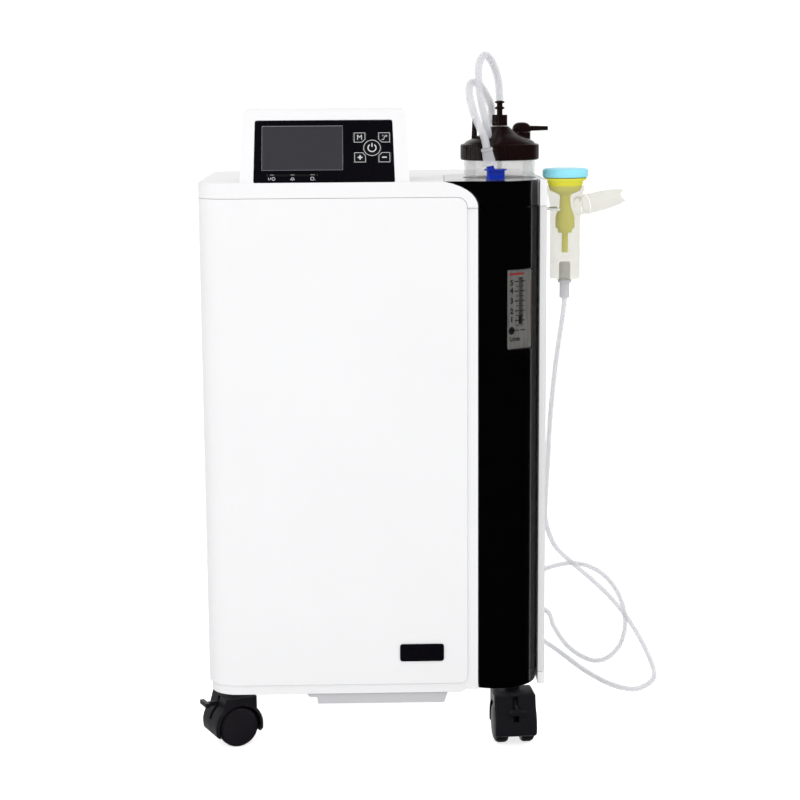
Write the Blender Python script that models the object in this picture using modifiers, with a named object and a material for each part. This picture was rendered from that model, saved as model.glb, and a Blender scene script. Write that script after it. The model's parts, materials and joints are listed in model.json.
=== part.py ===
"""A floor-standing oxygen concentrator on four twin-wheel casters, in metres, +Z up.

The cabinet frame has x = 0 on the middle of the cabinet's width, y = 0 on the door's face and z = 0 on the
floor. The empty that every piece hangs from moves that frame so that the whole object is centred on the origin.
The front faces -Y.
"""

import math

import bmesh
import bpy
from mathutils import Matrix, Vector

# The cabinet frame's place in the world
CABINET_X = -0.0458
CABINET_Y = -0.1707

# Cabinet
LEFT, RIGHT, BACK = -0.2000, 0.2040, 0.3100
BASE_Z, LID_Z = 0.0703, 0.6765
FRONT_CORNER = 0.036
REAR_CORNER = 0.030
WALL = 0.0030
GAP = 0.0004
DOOR_RIGHT = 0.1222
DOOR_BACK = 0.1100
DOOR_RETURN = 0.0220
DOOR_TOP = 0.6585
FACE_RIGHT = 0.1095
FACE_BOTTOM = 0.0823
FACE_STEP = 0.0030
FACE_CORNER = 0.0113
FACE_LOW_CORNER = 0.0080
RING_BOTTOM = 0.6465
BASE_TOP = 0.0860
FLOOR_TOP = 0.0790
SIDE_FRONT = 0.0270
CORNER_STEP = 0.0460
BASE_STEP = 0.0038
SIDE_REAR = 0.2615

# The half-round column at the right-front corner, and the deck that caps it
COLUMN_X, COLUMN_Y, COLUMN_R = 0.1445, 0.0500, 0.0500
COLUMN_LEFT, COLUMN_RIGHT = 0.1228, 0.1945
COLUMN_BOTTOM = 0.0747
DECK_LEFT, DECK_RIGHT, DECK_BACK = 0.0830, 0.2000, 0.1900
DECK_FRONT = 0.0053
DECK_THICKNESS = 0.0030

# Humidifier, standing in the deck's well
BOTTLE_X, BOTTLE_Y = 0.1535, 0.0950
BOTTLE_R = 0.0430
BOTTLE_BOTTOM = 0.5475
WELL_R = 0.0440
WELL_BOTTOM = 0.5440
COLLAR_R = 0.0463
COLLAR_BOTTOM, COLLAR_TOP = 0.6975, 0.7160
CONE_TOP = 0.7365
CAP_WALL = 0.0075
ELBOW_X, ELBOW_Y, ELBOW_Z = 0.1810, 0.1130, 0.7292
ELBOW_R = 0.0112
NUT_R = 0.0092
NUT_BOTTOM, NUT_TOP = 0.7370, 0.7500
BARB_TOP = 0.7668

# Oxygen outlet on the deck
OUTLET_X, OUTLET_Y = 0.1443, 0.0350
OUTLET_R = 0.0125

# Flowmeter: its flat face is a chord of the column
FLOW_X, FLOW_Y, FLOW_Z = 0.17105, 0.0115, 0.52835
FLOW_WIDTH, FLOW_HEIGHT, FLOW_DEPTH = 0.0356, 0.0925, 0.0160
FLOW_TURN = math.radians(34.6)

# Console on the lid, its face leaning back
CONSOLE_LEFT, CONSOLE_RIGHT = -0.1502, 0.0443
CONSOLE_TAPER = 0.0036
CONSOLE_CORNER = 0.0070
CONSOLE_Y, CONSOLE_Z = 0.0020, 0.6720
CONSOLE_LEAN = math.radians(25.6)
CONSOLE_HEIGHT = 0.0972
CONSOLE_BACK = 0.1180
PANEL_X, PANEL_WIDTH = -0.0537, 0.1585
PANEL_LOW, PANEL_HIGH = 0.0044, 0.0818
PANEL_CORNER = 0.0026
PANEL_THICKNESS = 0.0025
PANEL_POCKET = 0.0034
LCD_LEFT, LCD_RIGHT, LCD_LOW, LCD_HIGH = -0.1248, -0.0319, 0.0201, 0.0755
KEY_WIDTH, KEY_HEIGHT = 0.0145, 0.0136
KEY_CHAMFER = 0.0045
POWER_X, POWER_V, POWER_R = 0.0016, 0.0471, 0.0108
KEYS = {
    "mode_button": (-0.0126, 0.0600),
    "timer_button": (0.0156, 0.0600),
    "plus_button": (-0.0122, 0.0354),
    "minus_button": (0.0156, 0.0354),
}
BUTTON_PROUD = 0.0003

# Badge and base
BADGE_LEFT, BADGE_RIGHT, BADGE_LOW, BADGE_HIGH = 0.0292, 0.0814, 0.1102, 0.1315
DUCT_LEFT, DUCT_RIGHT, DUCT_BOTTOM = -0.0840, 0.0868, 0.0566

# Casters: swivel axis x, y, heading of the brake side in degrees, and the lever's angle or None
CASTERS = {
    "front_left": (-0.1659, 0.0412, 205.0, 0.0),
    "front_right": (0.1655, 0.0349, -86.0, 20.0),
    "rear_left": (-0.1580, 0.2640, 70.0, None),
    "rear_right": (0.1600, 0.2640, 110.0, None),
}
WHEEL_R = 0.0250
WHEEL_INNER, WHEEL_OUTER = 0.0080, 0.0246
TRAIL = 0.0080
HOOD_R = 0.0305
HOOD_HALF = 0.0250
AXLE_R = 0.0030
WEB_HALF = 0.0070

# Nebulizer, hanging at the right side
CUP_X, CUP_Y = 0.2325, 0.1000
CUP_R = 0.0193
CUP_BOTTOM, CUP_TOP = 0.5540, 0.6660
CUP_WALL = 0.0014
FORK_OPENING = 112
FORK_LOW, FORK_HIGH = 0.6372, 0.6396
PORT_R, PORT_Z = 0.0118, 0.6375
PORT_TURN, PORT_TILT = math.radians(-30), math.radians(-14)

# Fan's axis inside the cabinet
FAN = (-0.1120, 0.1600)

# Hoses: centre lines in the cabinet frame
HOSE_R = 0.00365
SHORT_HOSE_R = 0.0046
NEBULIZER_HOSE = [
    (0.2325, 0.1000, 0.5308), (0.2318, 0.1005, 0.5180), (0.2282, 0.1030, 0.4900), (0.2235, 0.1085, 0.4500),
    (0.2205, 0.1180, 0.4100), (0.2190, 0.1350, 0.3650), (0.2190, 0.1540, 0.3150), (0.2188, 0.1740, 0.2700),
    (0.2215, 0.1960, 0.2320), (0.2350, 0.2160, 0.1960), (0.2573, 0.2350, 0.1700), (0.2964, 0.2600, 0.1312),
    (0.3261, 0.2800, 0.0971), (0.3496, 0.2960, 0.0632), (0.3680, 0.3020, 0.0300), (0.3765, 0.2880, 0.0085),
    (0.3735, 0.2560, 0.0041), (0.3600, 0.2250, 0.0040), (0.3372, 0.2050, 0.0040), (0.3110, 0.2280, 0.0040),
    (0.2839, 0.2900, 0.0040), (0.2600, 0.3720, 0.0040), (0.2380, 0.4230, 0.0080), (0.2080, 0.4380, 0.0250),
    (0.1960, 0.4270, 0.0500), (0.2130, 0.4060, 0.0640), (0.2430, 0.3860, 0.0590), (0.2515, 0.3700, 0.0405),
    (0.2675, 0.3500, 0.0200), (0.2886, 0.3350, 0.0075), (0.3070, 0.3270, 0.0048), (0.3240, 0.3260, 0.0118),
    (0.3380, 0.3280, 0.0276), (0.3452, 0.3350, 0.0495), (0.3445, 0.3420, 0.0720), (0.3357, 0.3500, 0.0965),
    (0.3196, 0.3560, 0.1166), (0.2994, 0.3600, 0.1290), (0.2772, 0.3620, 0.1340), (0.2532, 0.3620, 0.1310),
    (0.2300, 0.3620, 0.1240), (0.2060, 0.3615, 0.1190), (0.1830, 0.3580, 0.1180), (0.1660, 0.3480, 0.1180),
    (0.1594, 0.3350, 0.1180), (0.1590, 0.3242, 0.1180),
]
HUMIDIFIER_HOSE = [
    (0.1335, 0.0300, 0.7138), (0.1306, 0.0286, 0.7262), (0.1225, 0.0246, 0.7430), (0.1163, 0.0240, 0.7610),
    (0.1138, 0.0320, 0.7765), (0.1168, 0.0480, 0.7868), (0.1260, 0.0660, 0.7868), (0.1345, 0.0840, 0.7775),
    (0.1418, 0.0990, 0.7655), (0.1450, 0.1095, 0.7555), (0.1443, 0.1125, 0.7465), (0.1410, 0.1060, 0.7398),
    (0.1372, 0.0930, 0.7385), (0.1360, 0.0760, 0.7335), (0.1370, 0.0600, 0.7275), (0.1365, 0.0480, 0.7290),
    (0.1345, 0.0405, 0.7380), (0.1310, 0.0365, 0.7520), (0.1270, 0.0360, 0.7720), (0.1250, 0.0400, 0.7920),
    (0.1262, 0.0480, 0.8090), (0.1335, 0.0620, 0.8190), (0.1420, 0.0760, 0.8130), (0.1485, 0.0870, 0.8000),
    (0.1520, 0.0930, 0.7870), (0.1532, 0.0950, 0.7760), (0.1535, 0.0950, 0.7672),
]
AIR_PORT = (0.1590, 0.1180)

for old in list(bpy.data.objects):
    bpy.data.objects.remove(old)

scene_root = bpy.context.scene.collection
pieces = bpy.data.collections.new("oxygen_concentrator")
helpers = bpy.data.collections.new("cutters")
scene_root.children.link(pieces)
scene_root.children.link(helpers)


def material(name, color, roughness, metallic=0.0, alpha=1.0):
    made = bpy.data.materials.new(name)
    made.use_nodes = True
    shader = made.node_tree.nodes["Principled BSDF"]
    shader.inputs["Base Color"].default_value = (*color, 1.0)
    shader.inputs["Roughness"].default_value = roughness
    shader.inputs["Metallic"].default_value = metallic
    shader.inputs["Alpha"].default_value = alpha
    return made


WHITE = material("white_shell", (0.87, 0.87, 0.88), 0.35)
GREY = material("grey_duct", (0.55, 0.55, 0.57), 0.50)
BLACK_GLOSS = material("black_column", (0.010, 0.009, 0.012), 0.12)
BLACK_GLASS = material("console_glass", (0.006, 0.006, 0.008), 0.10)
BLACK_MATTE = material("black_plastic", (0.020, 0.018, 0.022), 0.45)
LCD = material("lcd", (0.18, 0.19, 0.20), 0.30)
BUTTON = material("buttons", (0.030, 0.030, 0.034), 0.40)
CLEAR = material("clear_plastic", (0.85, 0.88, 0.88), 0.10, alpha=0.35)
BROWN = material("humidifier_cap", (0.028, 0.018, 0.015), 0.38)
BLUE = material("blue_outlet", (0.010, 0.060, 0.620), 0.30)
SCALE = material("flow_scale", (0.42, 0.41, 0.40), 0.35)
HOSE = material("hose", (0.80, 0.81, 0.83), 0.25, alpha=0.60)
FROSTED = material("frosted_plastic", (0.82, 0.82, 0.76), 0.50, alpha=0.60)
YELLOW = material("yellow_insert", (0.72, 0.72, 0.08), 0.40)
LIGHT_BLUE = material("nebulizer_lid", (0.30, 0.78, 0.95), 0.40)
TYRE = material("caster_wheel", (0.018, 0.016, 0.020), 0.50)
STEEL = material("steel", (0.62, 0.63, 0.65), 0.35, metallic=1.0)
ALUMINIUM = material("aluminium", (0.72, 0.73, 0.75), 0.40, metallic=1.0)
BOARD = material("circuit_board", (0.02, 0.22, 0.07), 0.50)
FILTER = material("filter_foam", (0.12, 0.12, 0.13), 0.95)
FROSTED_GREY = material("grey_connector", (0.45, 0.46, 0.48), 0.40)


def place(name, data, surface, parent, location=(0, 0, 0), rotation=(0, 0, 0)):
    """A visible piece with its material, hung from its parent."""
    made = bpy.data.objects.new(name, data)
    pieces.objects.link(made)
    if surface:
        data.materials.clear()
        data.materials.append(surface)
    made.parent = parent
    made.location = location
    made.rotation_euler = rotation
    return made


def empty(name, parent=None, location=(0, 0, 0), rotation=(0, 0, 0)):
    made = bpy.data.objects.new(name, None)
    pieces.objects.link(made)
    made.parent = parent
    made.location = location
    made.rotation_euler = rotation
    return made


ROOT = empty("cabinet_frame", location=(CABINET_X, CABINET_Y, 0))
CONSOLE = empty("console_face", ROOT, (0, CONSOLE_Y, CONSOLE_Z), (math.pi / 2 - CONSOLE_LEAN, 0, 0))


def rounded(corners, segments=5):
    """The closed outline through corners (a, b) or (a, b, radius), each radius as an arc."""
    outline = []
    for i, corner in enumerate(corners):
        here = Vector(corner[:2])
        radius = corner[2] if len(corner) > 2 else 0
        if not radius:
            outline.append(tuple(here))
            continue
        before = (Vector(corners[i - 1][:2]) - here).normalized()
        after = (Vector(corners[(i + 1) % len(corners)][:2]) - here).normalized()
        half = before.angle(after) / 2
        centre = here + (before + after).normalized() * radius / math.sin(half)
        start = here + before * radius / math.tan(half) - centre
        sweep = start.angle_signed(here + after * radius / math.tan(half) - centre)
        for k in range(segments + 1):
            turn = -sweep * k / segments
            outline.append(tuple(centre + Matrix.Rotation(turn, 2) @ start))
    return outline


def band(corners, thickness, segments=5):
    """The closed outline of a wall that follows an open path of corners, thickness wide on the path's right."""
    path = [Vector(p) for p in rounded([corners[0][:2], *corners[1:-1], corners[-1][:2]], segments)]
    inner = []
    for i, point in enumerate(path):
        before = (point - path[i - 1]).normalized() if i else None
        after = (path[i + 1] - point).normalized() if i < len(path) - 1 else None
        along = (before or after) + (after or before)
        along.normalize()
        across = Vector((along.y, -along.x))
        cosine = along.dot(after or before)
        inner.append(point + across * thickness / max(cosine, 0.5))
    return [tuple(p) for p in path] + [tuple(p) for p in reversed(inner)]


def arc(x, y, radius, start, end, steps):
    """Points on a circle between two angles in degrees."""
    angles = [math.radians(start + (end - start) * i / steps) for i in range(steps + 1)]
    return [(x + radius * math.cos(a), y + radius * math.sin(a)) for a in angles]


PLANES = {
    "XY": Matrix.Identity(4),
    "XZ": Matrix(((1, 0, 0, 0), (0, 0, -1, 0), (0, 1, 0, 0), (0, 0, 0, 1))),
    "YZ": Matrix(((0, 0, 1, 0), (1, 0, 0, 0), (0, 1, 0, 0), (0, 0, 0, 1))),
}


def prism_mesh(name, outline, low, high, plane="XY"):
    """A flat outline extruded from low to high along the normal of its plane, as one welded mesh."""
    curve = bpy.data.curves.new(name, "CURVE")
    curve.dimensions = "2D"
    curve.fill_mode = "BOTH"
    curve.extrude = (high - low) / 2
    spline = curve.splines.new("POLY")
    spline.points.add(len(outline) - 1)
    for point, (a, b) in zip(spline.points, outline):
        point.co = (a, b, 0, 1)
    spline.use_cyclic_u = True
    drawn = bpy.data.objects.new(name, curve)
    scene_root.objects.link(drawn)
    bpy.context.view_layer.update()
    mesh = bpy.data.meshes.new_from_object(drawn.evaluated_get(bpy.context.evaluated_depsgraph_get()))
    bpy.data.objects.remove(drawn)
    shape = bmesh.new()
    shape.from_mesh(mesh)
    bmesh.ops.remove_doubles(shape, verts=shape.verts, dist=1e-6)
    bmesh.ops.recalc_face_normals(shape, faces=shape.faces)
    shape.to_mesh(mesh)
    shape.free()
    middle = (low + high) / 2
    offset = {"XY": (0, 0, middle), "XZ": (0, middle, 0), "YZ": (middle, 0, 0)}[plane]
    mesh.transform(Matrix.Translation(offset) @ PLANES[plane])
    mesh.name = name
    return mesh


def box_mesh(name, x, y, z):
    """A box between three (low, high) pairs."""
    shape = bmesh.new()
    bmesh.ops.create_cube(shape, size=1)
    size = (x[1] - x[0], y[1] - y[0], z[1] - z[0])
    centre = ((x[0] + x[1]) / 2, (y[0] + y[1]) / 2, (z[0] + z[1]) / 2)
    matrix = Matrix.Translation(centre) @ Matrix.Diagonal((*size, 1))
    bmesh.ops.transform(shape, matrix=matrix, verts=shape.verts)
    mesh = bpy.data.meshes.new(name)
    shape.to_mesh(mesh)
    shape.free()
    return mesh


def cylinder_mesh(name, radius, low, high, axis="Z", centre=(0, 0), sides=24, top_radius=None):
    """A cylinder or cone along an axis, from low to high, its centre given in the other two axes."""
    shape = bmesh.new()
    top = radius if top_radius is None else top_radius
    bmesh.ops.create_cone(shape, cap_ends=True, segments=sides, radius1=radius, radius2=top, depth=high - low)
    middle = (low + high) / 2
    turn = {
        "Z": Matrix.Translation((centre[0], centre[1], middle)),
        "Y": Matrix.Translation((centre[0], middle, centre[1])) @ PLANES["XZ"],
        "X": Matrix.Translation((middle, centre[0], centre[1])) @ PLANES["YZ"],
    }[axis]
    bmesh.ops.transform(shape, matrix=turn, verts=shape.verts)
    mesh = bpy.data.meshes.new(name)
    shape.to_mesh(mesh)
    shape.free()
    return mesh


def turned(name, profile, surface, parent, location=(0, 0, 0), steps=32, closed=False, rotation=(0, 0, 0)):
    """A turned piece. The profile runs down its outer side from the top, as (radius, height)."""
    mesh = bpy.data.meshes.new(name)
    edges = [(i, i + 1) for i in range(len(profile) - 1)]
    if closed:
        edges.append((len(profile) - 1, 0))
    mesh.from_pydata([(r, 0, z) for r, z in profile], edges, [])
    made = place(name, mesh, surface, parent, location, rotation)
    screw = made.modifiers.new("turn", "SCREW")
    screw.steps = steps
    screw.render_steps = steps
    screw.use_merge_vertices = True
    screw.merge_threshold = 0.00005
    screw.use_smooth_shade = True
    return made


def helper(name, mesh, target):
    """A shape that only cuts or joins its target, in the target's own frame."""
    made = bpy.data.objects.new(name, mesh)
    helpers.objects.link(made)
    made.parent = target.parent
    made.location = target.location
    made.rotation_euler = target.rotation_euler
    made.hide_render = True
    made.display_type = "WIRE"
    return made


def boolean(target, operation, *meshes):
    for mesh in meshes:
        modifier = target.modifiers.new(mesh.name, "BOOLEAN")
        modifier.operation = operation
        modifier.solver = "EXACT"
        modifier.object = helper(f"{target.name}.{mesh.name}", mesh, target)
    return target


def carved(mesh, *cutters):
    """A mesh with other shapes cut out of it."""
    blank = bpy.data.objects.new(mesh.name, mesh)
    scene_root.objects.link(blank)
    boolean(blank, "DIFFERENCE", *cutters)
    bpy.context.view_layer.update()
    made = bpy.data.meshes.new_from_object(blank.evaluated_get(bpy.context.evaluated_depsgraph_get()))
    bpy.data.objects.remove(blank)
    return made


def bevel(target, width, segments=2, angle=40):
    modifier = target.modifiers.new("rounding", "BEVEL")
    modifier.width = width
    modifier.segments = segments
    modifier.limit_method = "ANGLE"
    modifier.angle_limit = math.radians(angle)
    return target


def smooth_route(route, spacing):
    """Evenly spaced points on a smooth curve through a route's own points."""
    route = [Vector(p) for p in route]
    ends = [2 * route[0] - route[1], *route, 2 * route[-1] - route[-2]]
    fine = []
    for i in range(len(route) - 1):
        a, b, c, d = ends[i : i + 4]
        for k in range(12):
            t = k / 12
            bend = (2 * b, c - a, 2 * a - 5 * b + 4 * c - d, 3 * b - a - 3 * c + d)
            fine.append((bend[0] + bend[1] * t + bend[2] * t * t + bend[3] * t**3) / 2)
    fine.append(route[-1])
    lengths = [0.0]
    for a, b in zip(fine, fine[1:]):
        lengths.append(lengths[-1] + (b - a).length)
    count = round(lengths[-1] / spacing)
    points, k = [], 0
    for i in range(count + 1):
        want = lengths[-1] * i / count
        while k < len(fine) - 2 and lengths[k + 1] < want:
            k += 1
        points.append(fine[k].lerp(fine[k + 1], (want - lengths[k]) / (lengths[k + 1] - lengths[k])))
    return points


def tube(name, points, radius, surface, resolution=2):
    """A round tube along points."""
    curve = bpy.data.curves.new(name, "CURVE")
    curve.dimensions = "3D"
    curve.bevel_depth = radius
    curve.bevel_resolution = resolution
    curve.use_fill_caps = True
    spline = curve.splines.new("POLY")
    spline.points.add(len(points) - 1)
    for point, co in zip(spline.points, points):
        point.co = (*co, 1)
    return place(name, curve, surface, ROOT)


# ---------------------------------------------------------------- cabinet shells


def column_arc(radius, steps=12, left=COLUMN_LEFT, right=COLUMN_RIGHT):
    """The column's front from its left edge to its right edge, at a radius about the column's centre."""
    start = -math.degrees(math.acos(max(-1, (left - COLUMN_X) / radius)))
    end = -math.degrees(math.acos(min(1, (right - COLUMN_X) / radius)))
    return arc(COLUMN_X, COLUMN_Y, radius, start, end, steps)


def front_panel():
    """The door: a wall that wraps the left-front corner, with a raised face inside a lower rim."""
    back_edge = (LEFT + FACE_STEP, DOOR_BACK)
    path = [
        back_edge,
        (LEFT + FACE_STEP, FACE_STEP, FRONT_CORNER - FACE_STEP),
        (DOOR_RIGHT, FACE_STEP),
        (DOOR_RIGHT, DOOR_RETURN),
    ]
    door = place(
        "front_panel",
        prism_mesh("rim", band(path, -WALL, 7), BASE_Z, RING_BOTTOM - GAP),
        WHITE,
        ROOT,
    )
    face_path = [(LEFT, DOOR_BACK), (LEFT, 0, FRONT_CORNER), (FACE_RIGHT, 0)]
    face = prism_mesh("face", band(face_path, -(FACE_STEP + 0.0012), 7), FACE_BOTTOM, DOOR_TOP)
    high = [(FACE_RIGHT + 0.01, DOOR_TOP + 0.01), (FACE_RIGHT - FACE_CORNER, DOOR_TOP + 0.01)]
    high += arc(FACE_RIGHT - FACE_CORNER, DOOR_TOP - FACE_CORNER, FACE_CORNER, 90, 0, 5)
    high += [(FACE_RIGHT + 0.01, DOOR_TOP - FACE_CORNER)]
    low = [(FACE_RIGHT + 0.01, FACE_BOTTOM - 0.01), (FACE_RIGHT + 0.01, FACE_BOTTOM + FACE_LOW_CORNER)]
    low += arc(FACE_RIGHT - FACE_LOW_CORNER, FACE_BOTTOM + FACE_LOW_CORNER, FACE_LOW_CORNER, 0, -90, 4)
    low += [(FACE_RIGHT - FACE_LOW_CORNER, FACE_BOTTOM - 0.01)]
    corners = [prism_mesh(f"corner_{i}", outline, -0.01, 0.01, "XZ") for i, outline in enumerate((high, low))]
    boolean(door, "UNION", carved(face, *corners))
    return boolean(door, "DIFFERENCE", base_step("door_step", DOOR_RETURN + 0.01))


def deck_outline(grow=0.0):
    """The deck seen from above: a pointed lip at the left, the column's round front and a broad rear."""
    g = grow
    front = [(DECK_LEFT - g, DECK_FRONT - g), (COLUMN_LEFT - g, DECK_FRONT - g)]
    front += column_arc(COLUMN_R + g, left=COLUMN_LEFT - g, right=COLUMN_RIGHT + g)[1:-1]
    front += [(COLUMN_RIGHT + g, COLUMN_Y), (COLUMN_RIGHT + g, 0.0585 - g), (DECK_RIGHT + g, 0.0585 - g)]
    rear = [
        (DECK_RIGHT + g, 0.15),
        (DECK_RIGHT + g, DECK_BACK + g, 0.012),
        (DECK_LEFT + 0.008 - g, DECK_BACK + g, 0.045),
        (DECK_LEFT + 0.004 - g, 0.08),
    ]
    return front + rounded(rear, 6)


def lip_curve(steps=7):
    """The curved right end of the lid's front band, from its tip on the lid down to the seam."""
    start, middle, end = Vector((DECK_LEFT, LID_Z)), Vector((0.1212, 0.6685)), Vector((DOOR_RIGHT, RING_BOTTOM))
    points = []
    for k in range(steps + 1):
        t = k / steps
        points.append(tuple(start * (1 - t) ** 2 + middle * 2 * t * (1 - t) + end * t * t))
    return points


def cabinet_outline(inset=0.0, front=0.0):
    """The cabinet seen from above, with a strip at the right that runs forward beside the column."""
    i = inset
    return rounded(
        [
            (LEFT + i, front + i, FRONT_CORNER - i),
            (DOOR_RIGHT - i, front + i, 0.0015),
            (DOOR_RIGHT - i, CORNER_STEP + i),
            (COLUMN_RIGHT + 0.0010 + i, CORNER_STEP + i),
            (COLUMN_RIGHT + 0.0010 + i, SIDE_FRONT + i),
            (RIGHT - i, SIDE_FRONT + i, 0.003),
            (RIGHT - i, BACK - i, REAR_CORNER - i),
            (LEFT + i, BACK - i, REAR_CORNER - i),
        ],
        7,
    )


def console_profile(face_wall=0.0, wall=0.0, drop=0.0):
    """The console's side: a face that leans back, a rounded top and a sloping back, inside the given walls."""
    lean_y, lean_z = math.sin(CONSOLE_LEAN), math.cos(CONSOLE_LEAN)
    face_y = CONSOLE_Y + face_wall / lean_z
    top_y, top_z = face_y + CONSOLE_HEIGHT * lean_y, CONSOLE_Z + CONSOLE_HEIGHT * lean_z - wall
    return rounded(
        [
            (face_y, CONSOLE_Z - drop),
            (top_y - 0.001, top_z, 0.006),
            (CONSOLE_Y + CONSOLE_HEIGHT * lean_y + 0.024 - wall, top_z - 0.001, 0.010),
            (CONSOLE_BACK - wall, LID_Z - 0.002 - drop),
        ],
        4,
    )


def console_corners():
    """What lies outside the console's tapered sides and rounded top corners, seen from the front."""
    top = CONSOLE_Z + CONSOLE_HEIGHT * math.cos(CONSOLE_LEAN)
    low = LID_Z - 0.004
    cutters = []
    for side, edge in ((-1, CONSOLE_LEFT), (1, CONSOLE_RIGHT)):
        corner = (edge - side * CONSOLE_TAPER, top, CONSOLE_CORNER)
        outline = rounded([(edge, low), corner, (edge - side * 0.03, top)], 5)
        outline += [(edge - side * 0.03, top + 0.02), (edge + side * 0.02, top + 0.02), (edge + side * 0.02, low)]
        cutters.append(prism_mesh(f"corner_{side}", outline, -0.02, 0.14, "XZ"))
    return cutters


def panel_outline(grow=0.0):
    """The display glass in the console's face: wider at its foot, with rounded corners."""
    left, right = PANEL_X - PANEL_WIDTH / 2, PANEL_X + PANEL_WIDTH / 2
    return rounded(
        [
            (left - 0.0009 - grow, PANEL_LOW - grow, PANEL_CORNER), (right + 0.0015 + grow, PANEL_LOW - grow, PANEL_CORNER),
            (right - 0.0005 + grow, PANEL_HIGH + grow, PANEL_CORNER), (left + 0.0004 - grow, PANEL_HIGH + grow, PANEL_CORNER),
        ],
        3,
    )


def top_cover():
    """The lid: a ring round the top, the white top surface and the console that rises from its front edge."""
    lid = place("top_cover", prism_mesh("lid", cabinet_outline(), RING_BOTTOM, LID_Z), WHITE, ROOT)
    console = prism_mesh("console", console_profile(), CONSOLE_LEFT, CONSOLE_RIGHT, "YZ")
    boolean(lid, "UNION", carved(console, *console_corners()))
    inside = rounded(
        [
            (LEFT + WALL, WALL, FRONT_CORNER - WALL),
            (DOOR_RIGHT - 0.0005, WALL),
            (DOOR_RIGHT - 0.0005, CORNER_STEP + 0.015),
            (RIGHT - 0.0036, CORNER_STEP + 0.015),
            (RIGHT - 0.0036, BACK - WALL, REAR_CORNER - WALL),
            (LEFT + WALL, BACK - WALL, REAR_CORNER - WALL),
        ],
        7,
    )
    boolean(lid, "DIFFERENCE", prism_mesh("inside", inside, RING_BOTTOM - 0.01, LID_Z - WALL))
    hollow = console_profile(PANEL_POCKET + WALL, WALL, 0.010)
    sides = CONSOLE_LEFT + CONSOLE_TAPER + WALL, CONSOLE_RIGHT - CONSOLE_TAPER - WALL
    hollow = prism_mesh("console_hollow", hollow, *sides, "YZ")
    boolean(lid, "DIFFERENCE", hollow)
    boolean(lid, "DIFFERENCE", prism_mesh("deck_opening", deck_outline(GAP), RING_BOTTOM - 0.01, LID_Z + 0.01))
    above_lip = lip_curve() + [(DOOR_RIGHT + 0.01, RING_BOTTOM), (DOOR_RIGHT + 0.01, LID_Z + 0.01)]
    above_lip += [(DECK_LEFT, LID_Z + 0.01)]
    boolean(lid, "DIFFERENCE", prism_mesh("lip", above_lip, -0.01, DECK_FRONT, "XZ"))
    clear = FACE_RIGHT + GAP
    door_room = [(LEFT - 0.01, RING_BOTTOM - 0.01), (clear, RING_BOTTOM - 0.01)]
    door_room += arc(FACE_RIGHT - FACE_CORNER, DOOR_TOP - FACE_CORNER, FACE_CORNER + GAP, 0, 90, 5)
    door_room += [(LEFT - 0.01, DOOR_TOP + GAP)]
    boolean(lid, "DIFFERENCE", prism_mesh("door_room", door_room, -0.01, DOOR_BACK, "XZ"))
    pocket = prism_mesh("panel_pocket", panel_outline(GAP), -PANEL_POCKET, 0.01)
    pocket.transform(CONSOLE.matrix_basis)
    boolean(lid, "DIFFERENCE", pocket)
    return lid


def column_shell():
    """The glossy half-round column, open at the flowmeter."""
    outer = column_arc(COLUMN_R, 16) + [(COLUMN_RIGHT, COLUMN_Y), (COLUMN_RIGHT, 0.0590)]
    inner = [(COLUMN_RIGHT - WALL, 0.0590), (COLUMN_RIGHT - WALL, COLUMN_Y)]
    inner += list(reversed(column_arc(COLUMN_R - WALL, 16, right=COLUMN_RIGHT - WALL)))
    left_edge = [(COLUMN_LEFT + WALL, 0.0100), (COLUMN_LEFT + WALL, 0.0200)]
    outline = [(COLUMN_LEFT, 0.0200)] + outer + inner[:-1] + left_edge
    shell = place(
        "column_shell",
        prism_mesh("shell", outline, COLUMN_BOTTOM, RING_BOTTOM - GAP),
        BLACK_GLOSS,
        ROOT,
    )
    half, tall = FLOW_WIDTH / 2 + GAP, FLOW_HEIGHT / 2 + GAP
    window = box_mesh("window", (-half, half), (-0.012, 0.020), (-tall, tall))
    window.transform(Matrix.Translation((FLOW_X, FLOW_Y, FLOW_Z)) @ Matrix.Rotation(FLOW_TURN, 4, "Z"))
    return boolean(shell, "DIFFERENCE", window)


def column_deck():
    """The deck: a top plate with a raised rim, a skirt down the column and the well that holds the bottle."""
    deck = place(
        "column_deck", prism_mesh("plate", deck_outline(), LID_Z - DECK_THICKNESS, LID_Z), BLACK_GLOSS, ROOT
    )
    outer = [(DECK_LEFT + 0.002, DECK_FRONT), (COLUMN_LEFT, DECK_FRONT)] + column_arc(COLUMN_R)[1:-1]
    outer += [(COLUMN_RIGHT, COLUMN_Y), (COLUMN_RIGHT, 0.0580)]
    inner = [(COLUMN_RIGHT - WALL, 0.0580), (COLUMN_RIGHT - WALL, COLUMN_Y)]
    inner += list(reversed(column_arc(COLUMN_R - WALL, right=COLUMN_RIGHT - WALL)))[1:-1]
    inner += [(COLUMN_LEFT, DECK_FRONT + WALL), (DECK_LEFT + 0.002, DECK_FRONT + WALL)]
    boolean(deck, "UNION", prism_mesh("skirt", outer + inner, RING_BOTTOM, LID_Z - 0.001))
    centre = (BOTTLE_X, BOTTLE_Y)
    wall = 0.0015
    well = cylinder_mesh("well", WELL_R + wall, WELL_BOTTOM - wall, LID_Z - 0.0010, "Z", centre, 40)
    boolean(deck, "UNION", well)
    room = cylinder_mesh("bottle_room", WELL_R, WELL_BOTTOM, LID_Z + 0.01, "Z", centre, 40)
    boolean(deck, "DIFFERENCE", room)
    pipe = cylinder_mesh("outlet_hole", 0.0048, LID_Z - 0.02, LID_Z + 0.01, "Z", (OUTLET_X, OUTLET_Y), 16)
    boolean(deck, "DIFFERENCE", pipe)
    return deck


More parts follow.
